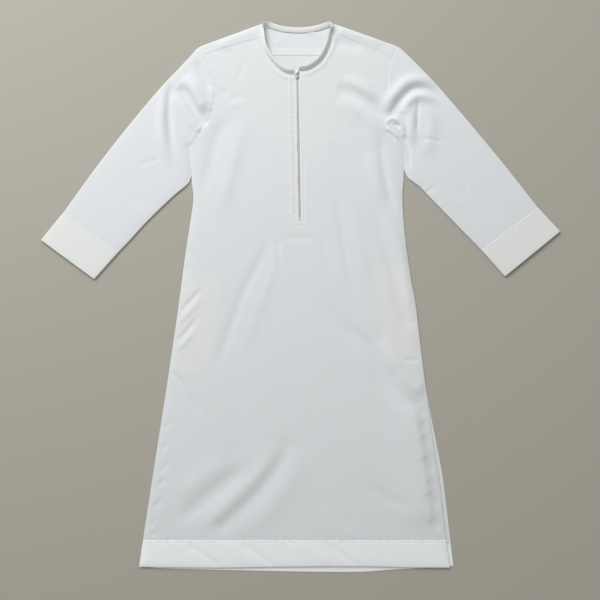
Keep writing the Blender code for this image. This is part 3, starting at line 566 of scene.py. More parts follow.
def seam_creases() -> list[Crease]:
    """The small creases along the seams, and the soft ridge of a seam's allowance beside it."""
    rows = [
        # The side seams.
        Puckers([(-0.256, 0.905), (-0.272, 0.745), (-0.288, 0.625)], 40, 18, 5, -1.3, 1, 15, 9),
        Puckers([(0.2545, 0.900), (0.272, 0.700), (0.296, 0.520)], 42, 18, 5, -1.4, -1, -15, 11),
        # The hem's seam, above it and below.
        Puckers([(-0.365, FRONT_SEAM_Y), (0.350, FRONT_SEAM_Y)], 19, 14, 5, -1.1, 1, -25, 13),
        Puckers([(-0.365, FRONT_SEAM_Y), (0.350, FRONT_SEAM_Y)], 17, 13, 4.5, -0.9, -1, 25, 15),
        # The rows beside the zip.
        Puckers([(-0.0065, 0.845), (-0.0125, 1.180)], 12, 13, 3.2, -0.9, 1, 12, 17),
        Puckers([(-0.0195, 0.840), (-0.0255, 1.185)], 14, 9, 3.2, -0.5, 1, -10, 19),
        Puckers([(0.0100, 0.850), (0.0040, 1.180)], 15, 9, 3.0, -0.45, -1, 0, 21),
    ]
    for half in HALVES:
        towards = half.sign
        rows.append(Puckers(half.armhole, 17, 12, 4, -0.7, -towards, 0, 23 + towards))
        rows.append(Puckers(half.armhole, 19, 12, 4, -0.5, towards, 0, 27 + towards))
        rows.append(Puckers(half.yoke_seam, 16, 10, 4, -0.4, -towards, 0, 31 + towards))
        rows.append(Puckers(half.sleeve_lower, 34, 16, 4.5, -0.8, towards, 0, 35 + towards))
        cuff_seam = [half.sleeve_upper[-1], half.sleeve_lower[-1]]
        rows.append(Puckers(cuff_seam, 21, 12, 4, -0.5, -towards, 0, 39 + towards))
    made = [crease for row in rows for crease in row.creases()]
    for half in HALVES:
        made.append(Crease(5, 0.55, offset(half.armhole, half.sign * -6 * MM, 8), fade=(0.1, 0.1)))
        made.append(Crease(4.6, -1.0, half.neckline, fade=(0.05, 0.15)))
        made.append(Crease(4.4, 1.1, offset(half.neckline, half.sign * -9.5 * MM, 16), fade=(0.1, 0.25)))
        made.append(Crease(4, 0.35, offset(half.yoke_seam, half.sign * 5 * MM, 3), fade=(0.05, 0.05)))
    made.append(Crease(4.0, 0.75, ((-0.0135, 0.840), (-0.0195, 1.183)), fade=(0.04, 0.04)))
    made.append(Crease(3.2, -0.7, ((-0.0055, 0.842), (-0.0115, 1.181)), fade=(0.04, 0.04)))
    made.append(Crease(2.4, 0.45, ((0.0115, 0.842), (0.0055, 1.186)), fade=(0.04, 0.04)))
    made.append(Crease(2.6, 0.30, FACING_EDGE[:7], fade=(0.3, 0.1)))
    made.append(Crease(2.6, 0.30, FACING_EDGE[7:], fade=(0.1, 0.3)))
    return made


@dataclass
class UpperLayer:
    """The height field of everything that lies on top."""

    creases: list[Crease] = field(default_factory=lambda: CREASES + seam_creases())
    held_at_seam: float = 0.85  # the share of a crease that a seam or a fold takes away
    held_at_fold: float = 0.6
    softness: float = 0.5 * MM  # how gently a hollow levels out on the layer below

    def __post_init__(self) -> None:
        """Sets out the edges that the layer comes down to."""
        self.seam_edges = [smooth_line(half.front_side, 30) for half in HALVES]
        self.seam_edges.append(smooth_line(FRONT_HEM, 12))
        for half, corner in ((LEFT, FRONT_HEM[0]), (RIGHT, FRONT_HEM[-1])):
            self.seam_edges.append(np.array([half.front_side[0], corner]))
        self.fold_edges = []
        for half in HALVES:
            upper = [*half.shoulder, *half.sleeve_upper[1:], half.cuff_end[0]]
            lower = [*half.underarm, *half.sleeve_lower[1:], half.cuff_end[1]]
            self.fold_edges += [smooth_line(upper, 30), smooth_line(lower, 24)]

    @staticmethod
    def closeness(plan: np.ndarray, edges: list[np.ndarray], fall: float) -> np.ndarray:
        """1 on an edge, falling to 0 away from it.

        Args:
            plan: points, one a row.
            edges: the edges.
            fall: the distance over which it falls, in metres.

        Returns:
            One value for each point.
        """
        away = np.full(len(plan), np.inf)
        for edge in edges:
            away = np.minimum(away, nearness(plan, edge).away)
        return np.exp(-away / fall)

    def height(self, plan: np.ndarray) -> np.ndarray:
        """Height of the middle of the upper cloth.

        Args:
            plan: an array of points, whose last axis is x and y.

        Returns:
            The heights, in the same arrangement.
        """
        flat = plan.reshape(-1, 2)
        seam = self.closeness(flat, self.seam_edges, EDGE_FALL)
        fold = self.closeness(flat, self.fold_edges, EDGE_FALL)
        base = UPPER_BASE - (UPPER_BASE - UPPER_AT_SEAM) * seam - (UPPER_BASE - UPPER_AT_FOLD) * fold
        lift = sum(crease.lift(flat) for crease in self.creases)
        held = 1 - self.held_at_seam * np.clip(seam, 0, 1) ** 2.2
        held = held - self.held_at_fold * np.clip(fold, 0, 1) ** 3
        z = base + lift * np.clip(held, 0, 1)
        soft = LOWEST + self.softness * np.log1p(np.exp((z - LOWEST) / self.softness))
        return soft.reshape(plan.shape[:-1])


# ---- Nodes and finishes ------------------------------------------------------------------
WAVE_SPACING = 0.314  # between straight bands at scale 1; slanting ones lie 1.4 times as far apart


def linear(hex_colour: str) -> tuple[float, float, float, float]:
    """Turns an sRGB hex colour to linear light.

    Args:
        hex_colour: six hex digits after a #.

    Returns:
        Red, green, blue and alpha.
    """
    values = []
    for k in (1, 3, 5):
        c = int(hex_colour[k:k + 2], 16) / 255
        values.append(c / 12.92 if c <= 0.04045 else ((c + 0.055) / 1.055) ** 2.4)
    return (*values, 1.0)


def node(tree: bpy.types.NodeTree, kind: str, settings: dict | None = None,
         links: dict | None = None) -> bpy.types.Node:
    """Adds one node.

    Args:
        tree: the node tree.
        kind: the node's Blender type.
        settings: values for its properties, or for its inputs by name or number.
        links: for its inputs, by name or number, the output that each takes.

    Returns:
        The node.
    """
    made = tree.nodes.new(kind)
    for key, value in (settings or {}).items():
        if isinstance(key, str) and hasattr(made, key):
            setattr(made, key, value)
        else:
            made.inputs[key].default_value = value
    for key, output in (links or {}).items():
        tree.links.new(output, made.inputs[key])
    return made


def principled(name: str, settings: dict) -> tuple[bpy.types.Material, bpy.types.Node]:
    """A material with its Principled shader ready.

    Args:
        name: the material's name.
        settings: the shader's inputs by name.

    Returns:
        The material and the shader.
    """
    made = bpy.data.materials.new(name)
    made.use_nodes = True
    shader = made.node_tree.nodes["Principled BSDF"]
    for key, value in settings.items():
        shader.inputs[key].default_value = value
    return made, shader


def mottled(made: bpy.types.Material, shader: bpy.types.Node, colour: str, darkest: float, scale: float,
            detail: float = 2.0) -> tuple[bpy.types.NodeSocket, bpy.types.NodeSocket]:
    """Gives a shader a base colour that varies softly down to a darker shade of it.

    Args:
        made: the material.
        shader: its shader.
        colour: the sRGB hex colour.
        darkest: the darker shade, as a share of the colour.
        scale: the noise's scale.
        detail: the noise's detail.

    Returns:
        The place that the noise is read at, and the noise.
    """
    tree = made.node_tree
    place = node(tree, "ShaderNodeTexCoord").outputs["Object"]
    noise = node(tree, "ShaderNodeTexNoise", {"Scale": scale, "Detail": detail}, {"Vector": place})
    base = np.array(linear(colour))
    mix = node(tree, "ShaderNodeMix", {"data_type": "RGBA", 6: tuple(base * darkest), 7: tuple(base)},
               {0: noise.outputs["Fac"]})
    tree.links.new(mix.outputs[2], shader.inputs["Base Color"])
    return place, noise.outputs["Fac"]


def bumped(made: bpy.types.Material, shader: bpy.types.Node, height: bpy.types.NodeSocket,
           strength: float, distance: float) -> None:
    """Adds a fine surface.

    Args:
        made: the material.
        shader: its shader.
        height: the output that gives its height.
        strength: how strongly it shows.
        distance: its depth, in metres.
    """
    bump = node(made.node_tree, "ShaderNodeBump", {"Strength": strength, "Distance": distance},
                {"Height": height})
    made.node_tree.links.new(bump.outputs[0], shader.inputs["Normal"])


@dataclass(frozen=True)
class WhiteSuiting:
    """White polyester suiting, plain woven and calendered: matt white, a faint sheen at a grazing look.

    Over a facing or a pocket bag less of what is under it shows through, so it
    looks denser and a little creamier. Folded double it is denser still, and
    cooler. The attribute lined runs from 0, single, through 0.5, backed, to 1, double.
    """

    name: str = "woven_polyester_suiting"
    single: str = "#DBDEE0"
    backed: str = "#E6E6E0"
    double: str = "#EEF2F4"
    roughness: float = 0.78
    thread_mm: float = 1.1  # the real thread is 0.25 mm apart, too fine to show, so drawn coarser

    def build(self) -> bpy.types.Material:
        """The material."""
        made, shader = principled(self.name, {
            "Roughness": self.roughness, "IOR": 1.5, "Specular IOR Level": 0.25,
            "Sheen Weight": 0.12, "Sheen Roughness": 0.5,
        })
        tree = made.node_tree
        place = node(tree, "ShaderNodeTexCoord").outputs["Object"]
        share = node(tree, "ShaderNodeAttribute", {"attribute_name": "lined"}).outputs["Fac"]
        cloud = node(tree, "ShaderNodeTexNoise", {"Scale": 9.0, "Detail": 3.0}, {"Vector": place})
        lower = node(tree, "ShaderNodeMapRange", {"From Max": 0.5}, {"Value": share})
        upper = node(tree, "ShaderNodeMapRange", {"From Min": 0.5}, {"Value": share})
        first = node(tree, "ShaderNodeMix", {"data_type": "RGBA", 6: linear(self.single),
                                             7: linear(self.backed)}, {0: lower.outputs["Result"]})
        colour = node(tree, "ShaderNodeMix", {"data_type": "RGBA", 7: linear(self.double)},
                      {0: upper.outputs["Result"], 6: first.outputs[2]})
        uneven = node(tree, "ShaderNodeMapRange", {"To Min": 0.985, "To Max": 1.015},
                      {"Value": cloud.outputs["Fac"]})
        tinted = node(tree, "ShaderNodeVectorMath", {"operation": "SCALE"},
                      {0: colour.outputs[2], "Scale": uneven.outputs["Result"]})
        tree.links.new(tinted.outputs[0], shader.inputs["Base Color"])
        turns = 2 * math.pi / (self.thread_mm * MM)
        axes = node(tree, "ShaderNodeSeparateXYZ", {}, {0: place})
        waves = []
        for axis in (0, 1):
            scaled = node(tree, "ShaderNodeMath", {"operation": "MULTIPLY", 1: turns},
                          {0: axes.outputs[axis]})
            waves.append(node(tree, "ShaderNodeMath", {"operation": "SINE"}, {0: scaled.outputs[0]}))
        weave = node(tree, "ShaderNodeMath", {"operation": "MULTIPLY"},
                     {0: waves[0].outputs[0], 1: waves[1].outputs[0]})
        crush = node(tree, "ShaderNodeTexNoise", {"Scale": 70.0, "Detail": 4.0, "Roughness": 0.55},
                     {"Vector": place})
        height = node(tree, "ShaderNodeMath", {"operation": "MULTIPLY_ADD", 1: 0.05},
                      {0: weave.outputs[0], 2: crush.outputs["Fac"]})
        bumped(made, shader, height.outputs[0], 0.35, 0.6 * MM)
        return made


@dataclass(frozen=True)
class WovenTape:
    """Herringbone woven tape or cotton bag cloth: off-white, quite matt, with a visible rib."""

    name: str
    colour: str
    rib_mm: float
    roughness: float = 0.85

    def build(self) -> bpy.types.Material:
        """The material."""
        made, shader = principled(self.name, {
            "Roughness": self.roughness, "IOR": 1.5, "Specular IOR Level": 0.2,
        })
        place, _ = mottled(made, shader, self.colour, 0.95, 40.0)
        rib = node(made.node_tree, "ShaderNodeTexWave", {
            "bands_direction": "DIAGONAL", "Scale": WAVE_SPACING / (self.rib_mm * MM), "Distortion": 0.6,
        }, {"Vector": place})
        bumped(made, shader, rib.outputs["Fac"], 0.5, 0.3 * MM)
        return made


@dataclass(frozen=True)
class SpunThread:
    """White spun polyester sewing thread: a little brighter and glossier than the cloth."""

    name: str = "spun_polyester_thread"
    colour: str = "#E6E6E4"

    def build(self) -> bpy.types.Material:
        """The material."""
        made, shader = principled(self.name, {
            "Roughness": 0.5, "IOR": 1.5, "Specular IOR Level": 0.4,
            "Sheen Weight": 0.1, "Sheen Roughness": 0.4,
        })
        mottled(made, shader, self.colour, 0.86, 900.0)
        return made


@dataclass(frozen=True)
class Metal:
    """Plated or drawn metal: bright edges, with a faint grain from polishing or forming."""

    name: str
    colour: str
    roughness: float
    grain_mm: float

    def build(self) -> bpy.types.Material:
        """The material."""
        made, shader = principled(self.name, {"Metallic": 1.0, "Roughness": self.roughness})
        _, grain = mottled(made, shader, self.colour, 0.8, 1 / (self.grain_mm * MM), 3.0)
        rough = node(made.node_tree, "ShaderNodeMapRange", {
            "To Min": self.roughness * 0.8, "To Max": self.roughness * 1.25,
        }, {"Value": grain})
        made.node_tree.links.new(rough.outputs["Result"], shader.inputs["Roughness"])
        bumped(made, shader, grain, 0.12, 0.05 * MM)
        return made


@dataclass
class Finishes:
    """Every finish, made once."""

    def __post_init__(self) -> None:
        """Builds the materials."""
        self.suiting = WhiteSuiting().build()
        self.pocket = WovenTape("plain_woven_cotton_pocketing", "#D8D6CC", 1.2).build()
        self.tape = WovenTape("herringbone_woven_polyester_tape", "#D6D5CE", 1.0).build()
        self.thread = SpunThread().build()
        self.teeth = Metal("drawn_aluminium_teeth", "#E2E5E8", 0.55, 0.8).build()
        self.nickel = Metal("nickel_plated_zinc", "#C6C7C8", 0.34, 1.5).build()


# ---- Mesh helpers ------------------------------------------------------------------------
@dataclass
class Workshop:
    """What every piece needs: the finishes, the upper layer, and the pattern's place in the frame."""

    finishes: Finishes
    upper: UpperLayer
    origin: Vector

    def link(self, name: str, mesh: bpy.types.Mesh, finish: bpy.types.Material) -> bpy.types.Object:
        """Links a mesh as a smooth piece.

        Args:
            name: the piece's name.
            mesh: its mesh, in the frame's coordinates.
            finish: its material.

        Returns:
            The piece.
        """
        piece = bpy.data.objects.new(name, mesh)
        bpy.context.scene.collection.objects.link(piece)
        mesh.materials.append(finish)
        mesh.shade_smooth()
        return piece

    def sheet(self, name: str, grids: Sequence[np.ndarray], wall: float,
              finish: bpy.types.Material, lined: Callable[[np.ndarray], np.ndarray] | float = 0.0,
              rim: float = 0.0) -> bpy.types.Object:
        """A cloth shell from grids of points that share their common edges.

        Args:
            name: the piece's name.
            grids: arrays of rows by columns by 3, in pattern metres.
            wall: the shell's thickness.
            finish: its material.
            lined: how dense the cloth looks, for all of it or from plan points.
            rim: the width of the rounding at its edges, or 0 for none.

        Returns:
            The piece.
        """
        mesh = bmesh.new()
        for grid in grids:
            rows, columns = grid.shape[:2]
            points = grid.reshape(-1, 3) + np.array(self.origin)
            verts = [mesh.verts.new(p) for p in points.tolist()]
            for j in range(rows - 1):
                for i in range(columns - 1):
                    a = j * columns + i
                    mesh.faces.new((verts[a], verts[a + 1], verts[a + columns + 1], verts[a + columns]))
        bmesh.ops.remove_doubles(mesh, verts=mesh.verts, dist=0.02 * MM)
        bmesh.ops.recalc_face_normals(mesh, faces=mesh.faces)
        data = bpy.data.meshes.new(name)
        mesh.to_mesh(data)
        mesh.free()
        piece = self.link(name, data, finish)
        self.tint(data, lined)
        shell = piece.modifiers.new("wall", "SOLIDIFY")
        shell.thickness = wall
        shell.offset = 0.0
        if rim:
            edge = piece.modifiers.new("rim", "BEVEL")
            edge.width = rim
            edge.segments = 2
            edge.limit_method = "ANGLE"
            edge.angle_limit = math.radians(60)
        crisp = piece.modifiers.new("crisp", "EDGE_SPLIT")
        crisp.split_angle = math.radians(55)
        return piece

    def tint(self, data: bpy.types.Mesh, lined: Callable[[np.ndarray], np.ndarray] | float) -> None:
        """Writes how dense the cloth looks at each point.

        Args:
            data: the mesh.
            lined: one value, or a function of plan points in pattern metres.
        """
        points = np.zeros(len(data.vertices) * 3, np.float32)
        data.vertices.foreach_get("co", points)
        plan = points.reshape(-1, 3)[:, :2].astype(float) - np.array(self.origin)[:2]
        values = lined(plan) if callable(lined) else np.full(len(plan), lined)
        layer = data.attributes.new("lined", "FLOAT", "POINT")
        layer.data.foreach_set("value", values.astype(np.float32))

    def on_upper(self, plan: np.ndarray, lift: float = 0.0) -> np.ndarray:
        """Plan points raised to the upper layer.

        Args:
            plan: rows by columns by 2.
            lift: how far above it.

        Returns:
            Rows by columns by 3.
        """
        return np.dstack([plan, self.upper.height(plan) + lift])

    def finish_piece(self, piece: bpy.types.Object, slot: Slot, *nodes: str,
                     body: Body = Body.ROBE) -> bpy.types.Object:
        """Puts a piece on its body and in place of its frame nodes.

        Args:
            piece: the piece.
            slot: the record's slot; not used.
            nodes: the nodes that it stands for.
            body: the body that it rides on.

        Returns:
            The piece.
        """
        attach(piece, body.value)
        if nodes:
            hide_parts(*nodes)
        LOG.info("%s: %d faces", piece.name, len(piece.data.polygons))
        return piece


@dataclass
class Stitching:
    """Rows of single stitches, joined in one mesh. Sizes in millimetres."""

    shop: Workshop
    length: float = 2.3
    pitch: float = 3.1
    thick: float = 0.42
    sides: int = 5
    sink: float = 0.05

    def template(self) -> tuple[np.ndarray, list[tuple[int, ...]]]:
        """One stitch along +X: its points and its faces."""
        stations = [(-0.5, 0.25), (-0.3, 0.9), (0.0, 1.0), (0.3, 0.9), (0.5, 0.25)]
        points = []
        for x, size in stations:
            for k in range(self.sides):
                angle = 2 * math.pi * k / self.sides
                points.append((x * self.length * MM, size * self.thick / 2 * MM * math.cos(angle),
                               size * self.thick / 2 * MM * math.sin(angle)))
        faces: list[tuple[int, ...]] = [tuple(range(self.sides - 1, -1, -1))]
        for j in range(len(stations) - 1):
            for k in range(self.sides):
                a = j * self.sides + k
                b = j * self.sides + (k + 1) % self.sides
                faces.append((a, b, b + self.sides, a + self.sides))
        last = (len(stations) - 1) * self.sides
        faces.append(tuple(range(last, last + self.sides)))
        return np.array(points), faces

    def sew(self, name: str, rows: Sequence[np.ndarray]) -> bpy.types.Object:
        """Sews the rows.

        Args:
            name: the piece's name.
            rows: lines of points in pattern metres, each on the cloth's face.

        Returns:
            The piece.
        """
        points, faces = self.template()
        outward = np.array([0.0, 0.0, 1.0])
        all_points = []
        all_faces = []
        for row in rows:
            travelled = distances(row)
            count = max(int(travelled[-1] / (self.pitch * MM)), 1)
            at = (np.arange(count) + 0.5) / count * travelled[-1]
            half = self.length / 2 * MM
            ends = [np.stack([np.interp(at + d, travelled, row[:, n]) for n in range(3)], axis=1)
                    for d in (-half, half)]
            for a, b in zip(*ends):
                x = (b - a) / max(np.linalg.norm(b - a), 1e-9)
                y = np.cross(outward, x)
                y /= np.linalg.norm(y)
                z = np.cross(x, y)
                middle = (a + b) / 2 + z * (self.thick / 2 - self.sink) * MM
                base = len(all_points) * len(points)
                all_points.append(points @ np.stack([x, y, z]) + middle + np.array(self.shop.origin))
                all_faces += [tuple(base + n for n in face) for face in faces]
        mesh = bpy.data.meshes.new(name)
        mesh.from_pydata(np.vstack(all_points).tolist(), [], all_faces)
        piece = self.shop.link(name, mesh, self.shop.finishes.thread)
        return self.shop.finish_piece(piece, Slot.CLOTH)

    def on_face(self, line: np.ndarray, above: float) -> np.ndarray:
        """A plan line raised to the face of the upper layer.

        Args:
            line: plan points.
            above: the face's height over the layer's middle, in metres.

        Returns:
            Points in three dimensions.
        """
        return np.column_stack([line, self.shop.upper.height(line) + above])


# ---- Body ------------------------------------------------------------------------------
ZIP_FOOT = (0.0045, 0.836)
ZIP_HEAD = (-0.0015, 1.200)


def zip_x(y: np.ndarray | float) -> np.ndarray | float:
    """The zip line's x at a height y on the pattern."""
    return np.interp(y, [ZIP_FOOT[1], ZIP_HEAD[1]], [ZIP_FOOT[0], ZIP_HEAD[0]])


def bulge(y: np.ndarray, centre: float, width: float) -> np.ndarray:
    """A soft hump over y, 1 at its centre."""
    return np.exp(-(((y - centre) / width) ** 2))


@dataclass
class FrontPanel:
    """The front, in one piece, with the zip's slit down its centre. Sizes in metres."""

    shop: Workshop
    slit: float = 2.4 * MM  # half of the slit's usual opening
    slider_opening: float = 4.7 * MM
    gapes: Sequence[tuple[float, float]] = ((1.087, 0.6 * MM), (1.016, 0.9 * MM), (0.932, 1.5 * MM))
    curl: float = 0.35 * MM
    curl_width: float = 1.9 * MM
    side_roll: float = 0.9 * MM
    side_lift: float = 0.9 * MM  # how far the rolled side edge ends above the back
    arm_lap: float = 1.2 * MM
    arm_drop: float = 0.3 * MM
    tuck_drop: float = 0.35 * MM
    slider_below_neck: float = 9 * MM
    foot_taper: float = 12 * MM  # how fast the slit opens above its foot
    slider_flare: float = 10 * MM  # and below the slider
    gape_width: float = 9 * MM
    columns: Sequence[tuple[float, int]] = ((0.014, 5), (0.086, 9), (0.76, 46), (0.14, 18))
    below_zip: int = 165
    beside_zip: int = 94
    neck: int = 36
    arm: int = 60

    def opening(self, half: Half, y: np.ndarray) -> np.ndarray:
        """How far the slit's edge is from the zip line.

        Args:
            half: the side.
            y: heights on the pattern.

        Returns:
            The distances.
        """
        head = half.neckline[0]
        slider_y = head[1] - self.slider_below_neck
        knots = [ZIP_FOOT[1], ZIP_FOOT[1] + self.foot_taper, slider_y - self.slider_flare, slider_y, head[1]]
        widths = [0.0, self.slit, self.slit, self.slider_opening, abs(head[0] - zip_x(head[1]))]
        wide = np.interp(y, knots, widths)
        for centre, more in self.gapes:
            wide = wide + more * bulge(y, centre, self.gape_width)
        return wide

    def centre_edge(self, half: Half) -> np.ndarray:
        """The inner edge: centre line, slit, and neckline."""
        low = smooth_line([(0.0, FRONT_SEAM_Y), ZIP_FOOT], self.below_zip)
        y = np.linspace(ZIP_FOOT[1], half.neckline[0][1], self.beside_zip + 1)[1:]
        slit = np.column_stack([zip_x(y) + half.sign * self.opening(half, y), y])
        return np.vstack([low, slit, smooth_line(half.neckline, self.neck)[1:]])

    def grid(self, half: Half) -> np.ndarray:
        """One half of the panel.

        Args:
            half: the side.

        Returns:
            Rows from the hem seam to the yoke seam, and columns from the centre to the side.
        """
        inner = self.centre_edge(half)
        side_steps = len(inner) - 1 - self.arm
        outer = np.vstack([smooth_line(half.front_side, side_steps),
                           smooth_line(half.armhole, self.arm)[1:]])
        share = spread(self.columns)
        bottom = smooth_line([inner[0], outer[0]], share)
        top = smooth_line([inner[-1], outer[-1]], share)
        grid = self.shop.on_upper(coons(bottom, top, inner, outer, share))
        beside = slice(self.below_zip + 3, self.below_zip + self.beside_zip + 1)
        inset = np.abs(grid[beside, :, 0] - grid[beside, :1, 0])
        grid[beside, :, 2] -= self.curl * np.exp(-((inset / self.curl_width) ** 2))
        rolled = grid[:, -1].copy()
        rolled[:side_steps, 0] += half.sign * self.side_roll
        rolled[:side_steps, 2] = ON_SURFACE + self.side_lift
        rolled[side_steps:, 0] += half.sign * self.arm_lap
        rolled[side_steps:, 2] -= self.arm_drop
        grid = np.hstack([grid, rolled[:, None]])
        low = grid[0] + (0, -TUCK, -self.tuck_drop)
        high = grid[-1] + (0, TUCK, -self.tuck_drop)
        return np.vstack([low[None], grid, high[None]])

    def lined(self, plan: np.ndarray) -> np.ndarray:
        """How dense the panel looks: over the pockets, the placket and the chest's facing."""
        share = 0.05 * inside(plan, np.array([(-0.26, 1.27), *FACING_EDGE, (0.26, 1.27), (0.09, 1.33),
                                              (-0.09, 1.33)]), 3 * MM)
        strip = np.array([(-0.021, 0.824), (0.019, 0.824), (0.014, 1.21), (-0.026, 1.21)])
        share = np.maximum(share, 0.16 * inside(plan, strip, 4 * MM))
        for half in HALVES:
            share = np.maximum(share, 0.14 * inside(plan, pocket_outline(half), 10 * MM))
        return share

    def build(self) -> bpy.types.Object:
        """The panel."""
        piece = self.shop.sheet("front_panel", [self.grid(LEFT), self.grid(RIGHT)], WALL,
                                self.shop.finishes.suiting, self.lined)
        self.shop.finish_piece(piece, Slot.CLOTH, "front")
        return piece


def pocket_outline(half: Half) -> np.ndarray:
    """Corners of a pocket bag on the pattern.

    Args:
        half: the side.

    Returns:
        The outline: up beside the seam and down the bag's inner edge.
    """
    side = smooth_line(half.front_side, 60)
    seam = [(np.interp(y, side[:, 1], side[:, 0]), y) for y, _ in half.pocket]
    inner = [(x - half.sign * depth, y) for (x, y), (_, depth) in zip(seam, half.pocket)]
    return np.array([*seam, *reversed(inner)])


@dataclass
class BackPanel:
    """The back, flat on the surface, up to its yoke seam. Sizes in metres."""

    shop: Workshop
    rows: int = 170
    arm: int = 30
    turned_in: float = 75 * MM  # how much of each armhole has a seam edge inside, from the yoke down
    turned_in_height: float = 1.15 * MM
    hem_edge_height: float = 1.7 * MM  # of the edge that runs on inside the hem band
    ridge_margin: float = 14 * MM  # how far from a seam the ridges stay low
    columns: Sequence[tuple[float, int]] = ((0.9, 34), (0.1, 6))  # shares of the width, and steps in each
    # Shallow ridges: the side that lies down stays flat, so each one only lifts a little.
    ridges: Sequence[Crease] = (
        Crease(9, 0.9, mm(-50, 1239, -120, 1100, -160, 900), fade=(0.2, 0.5)),
        Crease(8, 0.8, mm(40, 1239, 95, 1080, 120, 880), fade=(0.2, 0.5)),
        Crease(11, 1.2, mm(60, 700, 150, 560, 240, 430), fade=(0.4, 0.4)),
        Crease(12, 1.3, mm(-60, 720, -140, 500, -190, 300), fade=(0.4, 0.4)),
        Crease(10, 1.1, mm(-20, 420, -110, 240, -240, 100), fade=(0.4, 0.3)),
        Crease(10, 1.0, mm(50, 360, 150, 220, 260, 140), fade=(0.4, 0.3)),
        Crease(7, 0.9, mm(10, 1000, 20, 850, 0, 640), fade=(0.4, 0.4)),
    )

    def height(self, plan: np.ndarray) -> np.ndarray:
        """Height of the cloth's middle over plan points."""
        flat = plan.reshape(-1, 2)
        lift = sum(ridge.lift(flat) for ridge in self.ridges)
        edge = np.full(len(flat), np.inf)
        for half in HALVES:
            for line in (half.back_side, half.armhole):
                edge = np.minimum(edge, nearness(flat, smooth_line(line, 24)).away)
        held = 1 - np.exp(-edge / self.ridge_margin)
        return (ON_SURFACE + lift * held).reshape(plan.shape[:-1])

    def grid(self, half: Half) -> np.ndarray:
        """One half, rows from the hem seam to the yoke."""
        armhole = smooth_line(half.armhole, self.arm)
        armhole[:, 1] = np.minimum(armhole[:, 1], BACK_YOKE_Y)
        outer = np.vstack([smooth_line(half.back_side, self.rows - self.arm), armhole[1:]])
        inner = smooth_line([(0.0, BACK_SEAM_Y), (0.0, BACK_YOKE_Y)], self.rows)
        share = spread(self.columns)
        bottom = smooth_line([inner[0], outer[0]], share)
        top = smooth_line([inner[-1], outer[-1]], share)
        plan = coons(bottom, top, inner, outer, share)
        grid = np.dstack([plan, self.height(plan)])
        low = grid[0] + (0, -TUCK, 0)
        low[:, 2] = self.hem_edge_height
        high = grid[-1] + (0, TUCK, 0)
        high[:, 2] = ON_SURFACE
        return np.vstack([low[None], grid, high[None]])

    def seam_edge(self, half: Half) -> np.ndarray:
        """The turned-in edge behind the top of one armhole, which closes the seam to the sleeve."""
        line = smooth_line(half.armhole, 4 * self.arm)
        below_yoke = BACK_YOKE_Y - line[:, 1]
        line = line[(below_yoke > 1 * MM) & (below_yoke < self.turned_in)]
        across = half.sign * np.linspace(-2.0, 4.5, 4) * MM
        plan = line[:, None] + np.column_stack([across, np.zeros(4)])[None]
        return np.dstack([plan, np.full(plan.shape[:2], ON_SURFACE + self.turned_in_height)])

    def build(self) -> bpy.types.Object:
        """The panel."""
        grids = [self.grid(LEFT), self.grid(RIGHT), self.seam_edge(LEFT), self.seam_edge(RIGHT)]
        piece = self.shop.sheet("back_panel", grids, WALL, self.shop.finishes.suiting)
        self.shop.finish_piece(piece, Slot.CLOTH, "back")
        return piece


@dataclass
class HemBands:
    """The turned-up hem, front and back: double cloth with a pressed lower edge. Sizes in metres."""

    shop: Workshop
    lift: float = 0.6 * MM
    edge_lift: float = 1.6 * MM
    columns: int = 260
    rows: int = 18
    rim: float = 0.5 * MM

    def grid(self, seam: np.ndarray, drop: Line, on_top: bool) -> np.ndarray:
        """A band from its seam to its lower edge.

        Args:
            seam: the upper edge's points.
            drop: the lower edge.
            on_top: True for the front band, on the upper layer.

        Returns:
            Rows from the seam down.
        """
        low = smooth_line(drop, self.columns)
        v = np.linspace(0, 1, self.rows + 1)[:, None, None]
        plan = blend(seam[None], low[None], v)
        if on_top:
            return self.shop.on_upper(plan, self.lift + self.edge_lift * v[..., 0] ** 2)
        return np.dstack([plan, np.full(plan.shape[:2], DOUBLE_ON_SURFACE)])

    def build(self) -> list[bpy.types.Object]:
        """Both bands."""
        made = []
        for name, node_name, side, drop in (("hem_band_back", "hem_back", "back_side", BACK_HEM),
                                            ("hem_band_front", "hem_front", "front_side", FRONT_HEM)):
            ends = [getattr(half, side)[0] for half in HALVES]
            grid = self.grid(smooth_line(ends, self.columns), drop, node_name == "hem_front")
            piece = self.shop.sheet(name, [grid], DOUBLE_WALL, self.shop.finishes.suiting, 1.0, self.rim)
            self.shop.finish_piece(piece, Slot.CLOTH, node_name)
            made.append(piece)
        return made


